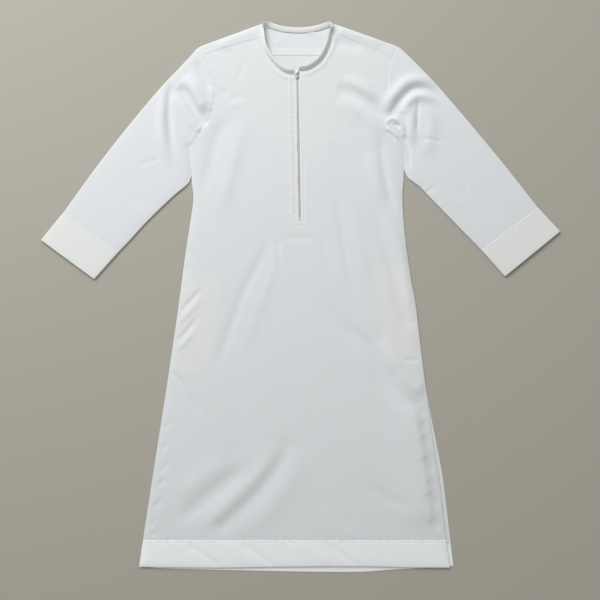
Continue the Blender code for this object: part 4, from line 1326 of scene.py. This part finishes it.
# ---- Yoke ------------------------------------------------------------------------------
@dataclass
class Yoke:
    """The yoke, in one piece from the back seam over both shoulders. Sizes in metres."""

    shop: Workshop
    columns: int = 46
    under_rows: int = 22
    over_rows: int = 9
    middle_columns: int = 56
    back_edge_lift: float = 0.95 * MM
    lap: float = 0.15 * MM
    over_sleeve: float = 1.012  # it runs on a little over the sleeve's edge
    under_neck: float = -0.02  # and starts a little under the neck band
    under_band: float = 5.0 * MM  # how far the back part runs on under the neck band
    neck_half: float = 84 * MM  # half of the back part's width at its seam
    creases: Sequence[Crease] = (
        Crease(4.5, 1.3, mm(18, 1301, 38, 1292, 60, 1278), lean=0.35, fade=(0.1, 0.5)),
        Crease(5, 0.6, mm(-62, 1262, -46, 1272, -34, 1288), fade=(0.4, 0.4)),
        Crease(3, 0.5, mm(-50, 1246, -20, 1250, 4, 1246)),
        Crease(3, 0.5, mm(16, 1246, 40, 1250, 62, 1247)),
    )

    def under_height(self, plan: np.ndarray) -> np.ndarray:
        """Height of the under layer, which laps over the back's edge at its seam.

        Args:
            plan: an array of points, whose last axis is x and y.

        Returns:
            The heights, in the same arrangement.
        """
        flat = plan.reshape(-1, 2)
        z = ON_SURFACE + sum(crease.lift(flat) for crease in self.creases)
        z = z + self.back_edge_lift * np.exp(-np.maximum(flat[:, 1] - BACK_YOKE_Y, 0) / (5 * MM))
        return z.reshape(plan.shape[:-1])

    def strip(self, half: Half) -> np.ndarray:
        """One side: under the shoulder, over its fold, and down the front."""
        t = np.linspace(self.under_neck, self.over_sleeve, self.columns + 1)[:, None]
        neck, arm = (np.array(p) for p in half.shoulder)
        rim = neck + (arm - neck) * t
        run = (arm - neck) / np.linalg.norm(arm - neck)
        outward = np.array([-run[1], run[0]]) * half.sign
        centre = rim - outward * FOLD_RADIUS
        top = self.shop.upper.height(centre)
        foot = blend(np.array([half.sign * self.neck_half, BACK_YOKE_Y]),
                     np.array([half.armhole[-1][0], BACK_YOKE_Y]), t)
        rows = []
        for v in np.linspace(0, 1, self.under_rows + 1)[:-1]:
            plan = blend(foot, centre, v)
            rows.append(np.column_stack([plan, self.under_height(plan)]))
        low = self.under_height(centre)
        for k in range(FOLD_STEPS + 1):
            angle = math.pi * (k / FOLD_STEPS - 0.5)
            plan = centre + outward * FOLD_RADIUS * math.cos(angle)
            rows.append(np.column_stack([plan, (low + top) / 2 + (top - low) / 2 * math.sin(angle)]))
        seam = blend(np.array(half.yoke_seam[0]), np.array(half.yoke_seam[1]), t)
        for v in np.linspace(0, 1, self.over_rows + 1)[1:]:
            plan = blend(centre, seam, v)
            rows.append(np.column_stack([plan, self.shop.upper.height(plan) + self.lap * v ** 2]))
        return np.array(rows)

    def middle(self, left: np.ndarray, right: np.ndarray) -> np.ndarray:
        """The back yoke between the neck points, up to the back neckline."""
        start = left[:self.under_rows + 1, 0, :2]
        end = right[:self.under_rows + 1, 0, :2]
        bottom = smooth_line([start[0], end[0]], self.middle_columns)
        neckline = [(x, y + self.under_band) for x, y in BACK_NECKLINE[1:-1]]
        top = smooth_line([start[-1], *neckline, end[-1]], self.middle_columns)
        plan = coons(bottom, top, start, end)
        return np.dstack([plan, self.under_height(plan)])

    def lined(self, plan: np.ndarray) -> np.ndarray:
        """The seam's allowance makes a denser strip on the back part."""
        strip = np.clip((BACK_YOKE_Y + 19 * MM - plan[:, 1]) / (1.2 * MM), 0, 1)
        return 0.22 * (np.abs(plan[:, 0]) < 86 * MM) * strip

    def build(self) -> bpy.types.Object:
        """The yoke."""
        left = self.strip(LEFT)
        right = self.strip(RIGHT)
        piece = self.shop.sheet("yoke_panel", [left, right, self.middle(left, right)], WALL,
                                self.shop.finishes.suiting, self.lined)
        self.shop.finish_piece(piece, Slot.CLOTH, "yoke")
        return piece


# ---- Sleeves ---------------------------------------------------------------------------
@dataclass
class Tube:
    """A flattened tube: a finer upper layer, round folds at its edges, and an under layer."""

    height: Callable[[np.ndarray], np.ndarray]
    under: float

    def rings(self, over: np.ndarray, under: np.ndarray) -> np.ndarray:
        """Closed rings of points, one for each row.

        Args:
            over: plan rows of the upper layer, each from the upper fold to the lower one.
            under: plan rows of the under layer, the same way round.

        Returns:
            Rows by points by 3, the first point of each ring repeated at its end.
        """
        across = over[:, -1] - over[:, 0]
        across /= np.linalg.norm(across, axis=1)[:, None]
        over, under = (self.drawn_in(plan, across) for plan in (over, under))
        top = np.dstack([over, self.height(over)])
        low = np.dstack([under[:, ::-1], np.full(under.shape[:2], self.under)])
        near = self.fold(top[:, -1], low[:, 0], across)
        far = self.fold(low[:, -1], top[:, 0], -across)
        return np.hstack([top, near, low, far, top[:, :1]])

    @staticmethod
    def drawn_in(plan: np.ndarray, across: np.ndarray) -> np.ndarray:
        """Plan rows with both ends moved in by the radius of the folds, so that these end on the pattern."""
        share = 1 - 2 * np.linspace(0, 1, plan.shape[1])
        return plan + across[:, None] * FOLD_RADIUS * share[:, None]

    @staticmethod
    def fold(start: np.ndarray, end: np.ndarray, outward: np.ndarray) -> np.ndarray:
        """The round fold between two layers, ends left out.

        Args:
            start: points where the fold starts, a row for each ring.
            end: points where it ends.
            outward: the way out of the tube in plan.

        Returns:
            Rows by steps by 3.
        """
        steps = []
        for k in range(1, FOLD_STEPS):
            angle = math.pi / 2 - math.pi * k / FOLD_STEPS
            plan = start[:, :2] + outward * FOLD_RADIUS * math.cos(angle)
            middle = (start[:, 2] + end[:, 2]) / 2
            z = middle + (start[:, 2] - end[:, 2]) / 2 * math.sin(angle)
            steps.append(np.column_stack([plan, z]))
        return np.stack(steps, axis=1)


@dataclass
class Sleeve:
    """A set-in sleeve, folded along its upper and lower edge. Sizes in metres."""

    shop: Workshop
    half: Half
    over_arm: int = 84
    under_arm: int = 22
    armpit: int = 24
    near_rows: int = 50
    far_rows: int = 74
    near_share: float = 0.26
    relaxing: int = 80
    sunk: float = 0.6 * MM  # how far its edge lies under the body's at the armhole
    sunk_width: float = 3.5 * MM
    set_in: float = 0.4 * MM  # how far outside the armhole its own edge starts
    tuck_at_armhole: float = 2.6 * MM
    over_tuck_drop: float = 1.0 * MM
    under_tuck_lift: float = 0.85 * MM
    over_ramp: tuple[int, int] = (6, 10)  # steps over which the tuck starts and ends
    under_ramp: tuple[int, int] = (3, 2)
    cuff_draw: float = 0.012  # how much narrower it gets inside the cuff
    cuff_drop: float = 0.45 * MM
    cuff_under_level: float = 1.75 * MM
    cuff_split: float = 1.5 * MM  # points above this height belong to the upper layer
    flat: tuple[float, float] = (0.40, 0.56)
    area: float = 0.155

    def plan(self, arm_steps: int) -> np.ndarray:
        """Plan rows from the armhole and the underarm fold to the cuff seam.

        Args:
            arm_steps: columns along the armhole.

        Returns:
            Rows by columns by 2.
        """
        half = self.half
        armhole = smooth_line(half.armhole, arm_steps)[::-1][1:]
        armhole = np.vstack([[half.shoulder[1]], armhole])
        armhole[:, 0] += half.sign * self.set_in
        start = np.vstack([armhole, smooth_line(half.underarm, self.armpit)])
        cuff = smooth_line([half.sleeve_upper[-1], half.sleeve_lower[-1]], len(start) - 1)
        rows = spread([(self.near_share, self.near_rows), (1 - self.near_share, self.far_rows)])
        upper = smooth_line([tuple(start[0]), *half.sleeve_upper[1:]], rows)
        lower = smooth_line(half.sleeve_lower, rows)
        grid = coons(start, cuff, upper, lower, rise=rows)
        for _ in range(self.relaxing):
            grid[1:-1, 1:-1] = (grid[:-2, 1:-1] + grid[2:, 1:-1] + grid[1:-1, :-2] + grid[1:-1, 2:]) / 4
        return grid

    def height(self, plan: np.ndarray) -> np.ndarray:
        """Height of the upper layer, which comes out from under the body at the armhole."""
        edge = smooth_line([*self.half.armhole, self.half.shoulder[1]], 44)
        away = nearness(plan.reshape(-1, 2), edge).away
        sunk = self.sunk * np.exp(-away / self.sunk_width)
        return self.shop.upper.height(plan) - sunk.reshape(plan.shape[:-1])

    @staticmethod
    def ramp(span: int, rising: int, falling: int) -> np.ndarray:
        """Weights that rise from 0 to 1 in one number of steps and fall at the end in another."""
        steps = np.arange(span)
        return np.clip(np.minimum(steps / rising, (span - steps) / falling), 0, 1)

    def tuck(self, ring: np.ndarray, start: int, weights: np.ndarray, lift: float) -> None:
        """Moves a stretch of a ring in under the body.

        Args:
            ring: the ring's points, which are changed.
            start: the stretch's first point.
            weights: how much each of its points moves.
            lift: how far up a whole move goes.
        """
        weight = np.zeros(len(ring))
        weight[start:start + len(weights)] = weights
        ring[:, 0] -= self.half.sign * self.tuck_at_armhole * weight
        ring[:, 2] += lift * weight

    def tucked(self, rings: np.ndarray) -> np.ndarray:
        """Adds the rings that run on inside the body and inside the cuff."""
        first = rings[0].copy()
        under = self.over_arm + 1 + self.armpit + FOLD_STEPS - 1 + self.armpit + 1
        self.tuck(first, 0, self.ramp(self.over_arm, *self.over_ramp), -self.over_tuck_drop)
        self.tuck(first, under, self.ramp(self.under_arm, *self.under_ramp)[::-1], self.under_tuck_lift)
        last = rings[-1].copy()
        outward = np.array(self.half.cuff_end).mean(axis=0) - last[:, :2].mean(axis=0)
        outward /= np.linalg.norm(outward)
        last[:, :2] += outward * TUCK
        middle = last[:, :2].mean(axis=0)
        last[:, :2] += (middle - last[:, :2]) * self.cuff_draw
        on_top = last[:, 2] > self.cuff_split
        last[:, 2] = np.where(on_top, last[:, 2] - self.cuff_drop, self.cuff_under_level)
        return np.vstack([first[None], rings, last[None]])

    def armpit_fold(self, ring: np.ndarray) -> np.ndarray:
        """The fold beside the body that closes the sleeve from its armpit to its corner."""
        corner = self.over_arm + self.armpit
        rows = [ring[corner:corner + FOLD_STEPS + 1]]
        outward = np.array([[-self.half.sign, 0.0]])
        for k in range(1, self.armpit + 1):
            over = ring[corner - k][None]
            under = ring[corner + FOLD_STEPS + k][None]
            rows.append(np.vstack([over, Tube.fold(over, under, outward)[0], under]))
        return np.array(rows)

    def build(self) -> bpy.types.Object:
        """The sleeve."""
        tube = Tube(self.height, ON_SURFACE)
        rings = tube.rings(self.plan(self.over_arm), self.plan(self.under_arm))
        grids = [self.tucked(rings), self.armpit_fold(rings[0])]
        name = f"sleeve_{self.half.name}"
        piece = self.shop.sheet(f"{name}_panel", grids, WALL, self.shop.finishes.suiting)
        self.shop.finish_piece(piece, Slot.CLOTH, name)
        return piece


@dataclass
class Cuff:
    """A deep cuff of double cloth, open at its end. Sizes in metres."""

    shop: Workshop
    half: Half
    lift: float = 0.7 * MM
    rows: int = 26
    over: int = 54
    under: int = 20
    rim: float = 0.45 * MM
    flat: tuple[float, float] = (0.345, 0.086)
    area: float = 0.028

    def plan(self, columns: int) -> np.ndarray:
        """Plan rows from the cuff's seam to its open end."""
        seam = smooth_line([self.half.sleeve_upper[-1], self.half.sleeve_lower[-1]], columns)
        end = smooth_line(self.half.cuff_end, columns)
        v = np.linspace(0, 1, self.rows + 1)[:, None, None]
        return blend(seam[None], end[None], v)

    def build(self) -> bpy.types.Object:
        """The cuff."""
        tube = Tube(lambda plan: self.shop.upper.height(plan) + self.lift, DOUBLE_ON_SURFACE)
        rings = tube.rings(self.plan(self.over), self.plan(self.under))
        name = f"cuff_{self.half.name}"
        piece = self.shop.sheet(f"{name}_band", [rings], DOUBLE_WALL, self.shop.finishes.suiting, 0.25,
                                self.rim)
        self.shop.finish_piece(piece, Slot.CLOTH, name)
        return piece


# ---- Neck band and pockets -----------------------------------------------------------------
@dataclass
class NeckBand:
    """The narrow standing band, which leans over the opening in front. Sizes in metres, turns in degrees."""

    shop: Workshop
    height: float = 12 * MM
    seam_width: float = 4.2 * MM  # how far its foot runs out under the front's edge
    seam_drop: float = 2.6 * MM
    below_at_back: float = 1.4 * MM
    foot_lowest: float = 1.6 * MM
    softening: int = 14  # passes that round the corners between stations
    bend: float = 47.0
    front_lean: float = 0.92
    back_bend: float = 15.0
    back_lean: float = 1.22
    fully_back: float = 30.0  # the backward lean from which the back's values hold in full
    bend_from: float = 25.0  # the lean from which the profile is mostly bent
    corner: float = 4.6 * MM
    stations: int = 190
    profile: int = 9
    wall: float = 1.25 * MM
    rim: float = 0.55 * MM

    def grid(self) -> np.ndarray:
        """Rows up the band's profile, and columns along it."""
        line = smooth_line([(s.x, s.y, s.z, s.lean) for s in BAND_STATIONS], self.stations)
        for _ in range(self.softening):
            line[1:-1] = (line[:-2] + 2 * line[1:-1] + line[2:]) / 4
        run = np.gradient(line[:, :2], axis=0)
        run /= np.linalg.norm(run, axis=1)[:, None]
        inward = np.column_stack([run[:, 1], -run[:, 0]])
        travelled = distances(line[:, :2])
        from_end = np.minimum(travelled, travelled[-1] - travelled)
        short = np.maximum(self.corner - from_end, 0)
        height = self.height - self.corner + np.sqrt(self.corner ** 2 - short ** 2)
        back = np.clip(-line[:, 3] / self.fully_back, 0, 1)
        bend = (self.bend + (self.back_bend - self.bend) * back) * np.tanh(line[:, 3] / self.bend_from)
        lean = np.radians(line[:, 3] * (self.front_lean + (self.back_lean - self.front_lean) * back))
        foot = line[:, :3].copy()
        first = lean - np.radians(bend)
        out = self.seam_width + (self.below_at_back * np.sin(first) - self.seam_width) * back
        foot[:, :2] -= inward * out[:, None]
        foot[:, 2] -= self.seam_drop + (self.below_at_back * np.cos(first) - self.seam_drop) * back
        foot[:, 2] = np.maximum(foot[:, 2], self.foot_lowest)
        at = line[:, :3].copy()
        rows = [foot, at.copy()]
        for k in range(self.profile):
            turn = lean + np.radians(bend * (2 * (k + 0.5) / self.profile - 1))
            step = height / self.profile
            at = at.copy()
            at[:, :2] += inward * (step * np.sin(turn))[:, None]
            at[:, 2] += step * np.cos(turn)
            rows.append(at)
        return np.array(rows)

    def build(self) -> bpy.types.Object:
        """The band."""
        piece = self.shop.sheet("neck_band_strip", [self.grid()], self.wall, self.shop.finishes.suiting,
                                0.3, self.rim)
        self.shop.finish_piece(piece, Slot.CLOTH, "neck_band")
        return piece


@dataclass
class PocketBag:
    """The flat bag of a side-seam pocket, between front and back. Sizes in metres."""

    shop: Workshop
    half: Half
    inset: float = 18 * MM
    level: float = 1.8 * MM
    wall: float = 0.9 * MM
    flat: tuple[float, float] = (0.082, 0.245)
    area: float = 0.0185

    def build(self) -> bpy.types.Object:
        """The bag."""
        outline = pocket_outline(self.half)
        count = len(outline) // 2
        seam = smooth_line(outline[:count] - (self.half.sign * self.inset, 0), 40)
        inner = smooth_line(outline[count:][::-1], 40)
        v = np.linspace(0, 1, 15)[None, :, None]
        plan = blend(seam[:, None], inner[:, None], v)
        grid = np.dstack([plan, np.full(plan.shape[:2], self.level)])
        name = f"pocket_{self.half.name}"
        piece = self.shop.sheet(f"{name}_bag", [grid], self.wall, self.shop.finishes.pocket, 0.0, 0.3 * MM)
        self.shop.finish_piece(piece, Slot.POCKET_CLOTH, name)
        return piece


# ---- Zip ---------------------------------------------------------------------------------
@dataclass
class ZipFastener:
    """The closed zip on its own line: teeth, tapes, slider and pull tab. Sizes in metres."""

    shop: Workshop
    tooth_pitch: float = 1.25 * MM
    tooth: tuple[float, float, float] = (3.4 * MM, 1.07 * MM, 1.4 * MM)
    chain_half: float = 2.2 * MM
    chain_middle: float = 4.3 * MM
    tape_below_front: float = 1.15 * MM
    tape_wall: float = 0.7 * MM
    slider_length: float = 9.6 * MM
    slider_half: float = 4.0 * MM
    slider_top: float = 5.5 * MM
    plate: float = 1.0 * MM
    pull_length: float = 15.0 * MM
    pull_half: float = 3.3 * MM
    pull_wall: float = 1.2 * MM
    tooth_rim: float = 0.14 * MM
    chain_start: float = 4 * MM
    tape_columns_mm: Sequence[float] = (0.35, 1.3, 2.2, 2.9, 5.2, 7.7, 10.6, 13.9)
    tape_below_chain: float = 1.05 * MM  # its inner columns run on under the teeth
    axis_z: float = 6.8 * MM
    axis_back: float = 5.6 * MM

    def __post_init__(self) -> None:
        """Works out the zip's line."""
        run = np.array(ZIP_HEAD) - np.array(ZIP_FOOT)
        self.length = float(np.linalg.norm(run))
        self.along = run / self.length
        self.across = np.array([self.along[1], -self.along[0]])

    def placed(self, points: np.ndarray) -> np.ndarray:
        """Points of the zip's own line, in pattern metres."""
        plan = np.array(ZIP_FOOT) + points[:, :1] * self.across + points[:, 1:2] * self.along
        return np.column_stack([plan, points[:, 2]])

    def piece(self, name: str, mesh: bmesh.types.BMesh, finish: bpy.types.Material, slot: Slot,
              node_name: str, body: Body = Body.ROBE) -> bpy.types.Object:
        """Makes a piece from a mesh drawn on the zip's line.

        Args:
            name: the piece's name.
            mesh: the mesh, which is used up.
            finish: its material.
            slot: the record's slot.
            node_name: the node that it stands for.
            body: the body that it rides on.

        Returns:
            The piece.
        """
        origin = np.array(self.shop.origin)
        verts = list(mesh.verts)
        points = self.placed(np.array([tuple(v.co) for v in verts])) + origin
        for vert, point in zip(verts, points.tolist()):
            vert.co = point
        bmesh.ops.recalc_face_normals(mesh, faces=mesh.faces)
        data = bpy.data.meshes.new(name)
        mesh.to_mesh(data)
        mesh.free()
        made = self.shop.link(name, data, finish)
        data.set_sharp_from_angle(angle=math.radians(35))
        return self.shop.finish_piece(made, slot, node_name, body=body)

    @staticmethod
    def block(mesh: bmesh.types.BMesh, low: Sequence[float], high: Sequence[float],
              rim: float) -> None:
        """Adds a box with softened edges.

        Args:
            mesh: the mesh to add to.
            low: its lowest corner.
            high: its highest corner.
            rim: the width of the softening.
        """
        made = bmesh.ops.create_cube(mesh, size=1.0)["verts"]
        for vert in made:
            vert.co = Vector(low[n] + (high[n] - low[n]) * (vert.co[n] + 0.5) for n in range(3))
        edges = list({edge for vert in made for edge in vert.link_edges})
        bmesh.ops.bevel(mesh, geom=edges, offset=rim, segments=1, affect="EDGES", profile=0.6)

    @staticmethod
    def flat_ring(mesh: bmesh.types.BMesh, outer: Line, inner: Line | None, low: float, high: float,
                  rim: float) -> None:
        """Adds a plate with softened edges from its outline, with or without a hole.

        Args:
            mesh: the mesh to add to.
            outer: the outline's points.
            inner: the hole's points, as many as the outline has.
            low: the plate's underside.
            high: its top.
            rim: the width of the softening.
        """
        ring = [mesh.verts.new((x, y, low)) for x, y in outer]
        count = len(ring)
        if inner is None:
            faces = [mesh.faces.new(ring)]
        else:
            hole = [mesh.verts.new((x, y, low)) for x, y in inner]
            faces = [mesh.faces.new((ring[k], ring[(k + 1) % count], hole[(k + 1) % count], hole[k]))
                     for k in range(count)]
        grown = bmesh.ops.extrude_face_region(mesh, geom=faces)["geom"]
        top = [item for item in grown if isinstance(item, bmesh.types.BMVert)]
        bmesh.ops.translate(mesh, verts=top, vec=(0, 0, high - low))
        verts = set(top) | {vert for face in faces for vert in face.verts}
        bmesh.ops.recalc_face_normals(mesh, faces=list({f for v in verts for f in v.link_faces}))
        edges = {edge for vert in verts for edge in vert.link_edges}
        sharp = [e for e in edges if len(e.link_faces) == 2
                 and e.calc_face_angle(0) > math.radians(50)
                 and abs(e.verts[0].co.z - e.verts[1].co.z) < 1e-6]
        bmesh.ops.bevel(mesh, geom=sharp, offset=rim, segments=2, affect="EDGES", profile=0.6)

    def chain(self) -> bpy.types.Object:
        """The closed row of teeth, left and right in turn."""
        mesh = bmesh.new()
        wide, thick, deep = self.tooth
        end = self.length - self.slider_length + 2 * MM
        count = int((end - self.chain_start) / self.tooth_pitch)
        for k in range(count):
            y = self.chain_start + (k + 0.5) * self.tooth_pitch
            sign = -1 if k % 2 else 1
            x = sorted((sign * self.chain_half, sign * (self.chain_half - wide)))
            self.block(mesh, (x[0], y - thick / 2, self.chain_middle - deep / 2),
                       (x[1], y + thick / 2, self.chain_middle + deep / 2), self.tooth_rim)
        return self.piece("zip_teeth_row", mesh, self.shop.finishes.teeth, Slot.ZIP_TEETH, "zip_chain")

    def tapes(self) -> list[bpy.types.Object]:
        """The tape on each side."""
        made = []
        for half in HALVES:
            columns = np.array(self.tape_columns_mm) * MM
            y = np.linspace(-12 * MM, self.length - 10 * MM, 120)
            x, y = np.meshgrid(half.sign * columns, y)
            flat = np.column_stack([x.ravel(), y.ravel(), np.zeros(x.size)])
            plan = self.placed(flat)[:, :2].reshape(*x.shape, 2)
            grid = self.shop.on_upper(plan, -self.tape_below_front)
            grid[:, :3, 2] = self.chain_middle - self.tape_below_chain
            name = f"zip_tape_{half.name}"
            piece = self.shop.sheet(f"{name}_strip", [grid], self.tape_wall, self.shop.finishes.tape)
            self.shop.finish_piece(piece, Slot.ZIP_TAPE, name)
            made.append(piece)
        return made

    def slider(self) -> bpy.types.Object:
        """The slider: two flared plates, their side walls, the post, and the bridge."""
        mesh = bmesh.new()
        low = self.length - self.slider_length
        half = self.slider_half
        outline = []
        for sign in (1, -1):
            side = [(0.62 * half, low), (0.78 * half, low + 0.8 * MM), (0.80 * half, low + 3.4 * MM),
                    (0.97 * half, low + 6.0 * MM), (half, self.length - 1.6 * MM),
                    (0.86 * half, self.length - 0.5 * MM), (0.45 * half, self.length)]
            outline += [(sign * x, y) for x, y in (side if sign > 0 else reversed(side))]
        top = self.slider_top
        self.flat_ring(mesh, outline, None, top - self.plate, top, 0.28 * MM)
        self.flat_ring(mesh, [(0.93 * x, y) for x, y in outline], None, 1.35 * MM, 2.2 * MM, 0.2 * MM)
        for sign in (-1, 1):
            x = sorted((sign * 0.60 * half, sign * 0.76 * half))
            self.block(mesh, (x[0], low + 0.6 * MM, top - self.plate - 0.8 * MM),
                       (x[1], low + 4.4 * MM, top - self.plate + 0.2 * MM), 0.15 * MM)
        self.block(mesh, (-1.2 * MM, self.length - 3.0 * MM, 2.0 * MM),
                   (1.2 * MM, self.length - 0.5 * MM, top - 0.6 * MM), 0.2 * MM)
        self.bridge(mesh)
        return self.piece("zip_slider_body", mesh, self.shop.finishes.nickel, Slot.ZIP_METAL,
                          "zip_slider")

    def bridge(self, mesh: bmesh.types.BMesh) -> None:
        """Adds the arched bridge that the pull hangs on.

        Args:
            mesh: the slider's mesh.
        """
        middle = self.length - self.axis_back
        reach = 3.1 * MM
        rise = self.axis_z + 1.75 * MM - self.slider_top
        wide = 0.85 * MM
        thick = 0.42 * MM
        steps = 12
        rings = []
        for k in range(steps + 1):
            angle = math.pi * k / steps
            flat = math.copysign(abs(math.cos(angle)) ** 0.55, math.cos(angle))
            tall = math.sin(angle) ** 0.55 if 0 < k < steps else 0.0
            ring = []
            for x, grow in ((-wide, -1), (wide, -1), (wide, 1), (-wide, 1)):
                y = middle + flat * (reach + grow * thick)
                z = self.slider_top - 0.3 * MM + tall * (rise + 0.3 * MM + grow * thick)
                ring.append(mesh.verts.new((x, y, z)))
            rings.append(ring)
        for a, b in zip(rings[:-1], rings[1:]):
            for k in range(4):
                mesh.faces.new((a[k], a[(k + 1) % 4], b[(k + 1) % 4], b[k]))
        mesh.faces.new(rings[0])
        mesh.faces.new(rings[-1])

    def pull(self) -> bpy.types.Object:
        """The pull tab: a flat tongue with a window at its hinge and a pressed rim."""
        mesh = bmesh.new()
        y0 = self.length - self.axis_back
        top = y0 + 0.6 * MM
        bottom = top - self.pull_length
        half = self.pull_half
        turns = [math.pi * k / 10 for k in range(11)]
        round_end = [(half * math.cos(a), bottom + half - half * math.sin(a)) for a in turns]
        outer = [(-half + 0.8 * MM, top), (0.0, top), (half - 0.8 * MM, top), (half, top - 0.8 * MM),
                 (0.92 * half, top - 5.5 * MM), *round_end, (-0.92 * half, top - 5.5 * MM),
                 (-half, top - 0.8 * MM)]
        high = y0 - 0.6 * MM
        low = y0 - 5.6 * MM
        side = 1.6 * MM
        foot = [(side * math.cos(a), low + 0.6 * MM - 0.6 * MM * math.sin(a)) for a in turns]
        inner = [(-side * 0.7, high), (0.0, high), (side * 0.7, high), (side, high - 0.4 * MM),
                 (side, high - 2.5 * MM), *foot, (-side, high - 2.5 * MM), (-side, high - 0.4 * MM)]
        z = self.axis_z
        self.flat_ring(mesh, outer, inner, z - self.pull_wall / 2, z + self.pull_wall / 2, 0.25 * MM)
        return self.piece("zip_pull_tab", mesh, self.shop.finishes.nickel, Slot.ZIP_METAL, "zip_pull",
                          Body.PULL_TAB)


# ---- Stitch lines ----------------------------------------------------------------------------
@dataclass
class Seams:
    """Every row of stitches that shows. Sizes in metres."""

    shop: Workshop
    front_face: float = 0.35 * MM
    yoke_face: float = 0.5 * MM
    band_face: float = 1.4 * MM
    cuff_face: float = 1.3 * MM

    def placket(self, sewing: Stitching) -> None:
        """The rows beside the zip and the bar tack at its foot."""
        rows = []
        for at_foot, at_head, low, high in ((-0.0190, -0.0252, 0.832, 1.186),
                                            (-0.0042, -0.0104, 0.838, 1.180),
                                            (0.0132, 0.0070, 0.838, 1.184)):
            rows.append(smooth_line([(at_foot, low), (at_head, high)], 90))
        sewing.sew("placket_stitches", [sewing.on_face(row, self.front_face) for row in rows])
        tack = []
        for k in range(17):
            x = -0.0075 + k * 1.12 * MM
            line = np.array([(x, 0.8275), (x + 0.3 * MM, 0.8300)])
            tack.append(sewing.on_face(line, self.front_face))
        sewing.sew("bar_tack", tack)

    def body(self, sewing: Stitching) -> None:
        """The rows on the yoke, just above its front seams."""
        rows = []
        for half in HALVES:
            line = np.array(offset(half.yoke_seam, half.sign * 2.2 * MM, 40))
            rows.append(sewing.on_face(line, self.yoke_face))
        sewing.sew("yoke_stitches", rows)

    def ends(self, sewing: Stitching) -> None:
        """The rows on the hem band and the cuffs."""
        line = smooth_line([(LEFT.front_side[0][0] + 1 * MM, FRONT_SEAM_Y - 2 * MM),
                            (RIGHT.front_side[0][0] - 1 * MM, FRONT_SEAM_Y - 2 * MM)], 190)
        rows = [sewing.on_face(line, self.band_face)]
        for half in HALVES:
            seam = np.array([half.sleeve_upper[-1], half.sleeve_lower[-1]])
            end = np.array(half.cuff_end)
            for share in (0.03, 0.93):
                ends = blend(seam, end, share)
                inset = (ends[1] - ends[0]) * 0.012
                line = smooth_line([ends[0] + inset, ends[1] - inset], 60)
                rows.append(sewing.on_face(line, self.cuff_face))
        sewing.sew("hem_and_cuff_stitches", rows)

    def build(self) -> None:
        """All of them."""
        sewing = Stitching(self.shop)
        self.placket(sewing)
        self.body(sewing)
        self.ends(sewing)


# ---- Studio ------------------------------------------------------------------------------------
@dataclass
class Studio:
    """A pale floor, soft light from the upper left, and a camera straight above. Sizes in metres."""

    floor_colour: str = "#ACA89D"
    floor_side: float = 7.0
    camera_at: tuple[float, float, float] = (-0.0012, -0.0073, 2.0167)
    key_at: tuple[float, float, float] = (-1.4, 2.55, 2.3)
    key_size: tuple[float, float] = (2.6, 1.9)
    key_power: float = 118.0
    key_colour: str = "#FBFDFF"
    fill: float = 0.45
    fill_colour: str = "#FEFDFA"

    def floor(self) -> None:
        """A matt floor, a little below the cloth."""
        mesh = bmesh.new()
        bmesh.ops.create_grid(mesh, x_segments=8, y_segments=8, size=self.floor_side / 2)
        data = bpy.data.meshes.new("floor")
        mesh.to_mesh(data)
        mesh.free()
        floor = bpy.data.objects.new("floor", data)
        floor.location.z = -0.05 * MM
        bpy.context.scene.collection.objects.link(floor)
        made, shader = principled("matt_painted_board", {"Roughness": 0.9, "Specular IOR Level": 0.2})
        mottled(made, shader, self.floor_colour, 0.985, 1.2)
        data.materials.append(made)

    def lights(self) -> None:
        """One large soft light, and an even fill from all round."""
        light = bpy.data.lights.new("key", "AREA")
        light.shape = "RECTANGLE"
        light.size, light.size_y = self.key_size
        light.energy = self.key_power
        light.color = linear(self.key_colour)[:3]
        key = bpy.data.objects.new("key", light)
        key.location = self.key_at
        aim = -Vector(self.key_at)
        key.rotation_euler = aim.to_track_quat("-Z", "Y").to_euler()
        bpy.context.scene.collection.objects.link(key)
        world = bpy.data.worlds.new("fill")
        world.use_nodes = True
        back = world.node_tree.nodes["Background"]
        back.inputs["Color"].default_value = linear(self.fill_colour)
        back.inputs["Strength"].default_value = self.fill
        bpy.context.scene.world = world

    def camera(self) -> None:
        """A camera that looks straight down, with the neck at the top."""
        data = bpy.data.cameras.new("camera")
        data.lens = 50
        data.sensor_width = 36
        camera = bpy.data.objects.new("camera", data)
        camera.location = self.camera_at
        bpy.context.scene.collection.objects.link(camera)
        bpy.context.scene.camera = camera
        bpy.context.scene.view_settings.view_transform = "Standard"

    def build(self) -> None:
        """Sets up the studio."""
        self.floor()
        self.lights()
        self.camera()


def main() -> None:
    """Dresses the frame."""
    logging.basicConfig(level=logging.INFO, format="%(message)s")
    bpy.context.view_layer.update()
    shop = Workshop(Finishes(), UpperLayer(), Vector((CENTRE_LINE_X, HEM_LINE_Y, 0.0)))
    LOG.info("body")
    BackPanel(shop).build()
    FrontPanel(shop).build()
    HemBands(shop).build()
    LOG.info("yoke, sleeves and cuffs")
    Yoke(shop).build()
    for half in HALVES:
        Sleeve(shop, half).build()
        Cuff(shop, half).build()
        PocketBag(shop, half).build()
    LOG.info("neck band")
    NeckBand(shop).build()
    LOG.info("zip")
    fastener = ZipFastener(shop)
    fastener.chain()
    fastener.tapes()
    fastener.slider()
    fastener.pull()
    LOG.info("stitches")
    Seams(shop).build()
    Studio().build()


if __name__ == "__main__":
    main()
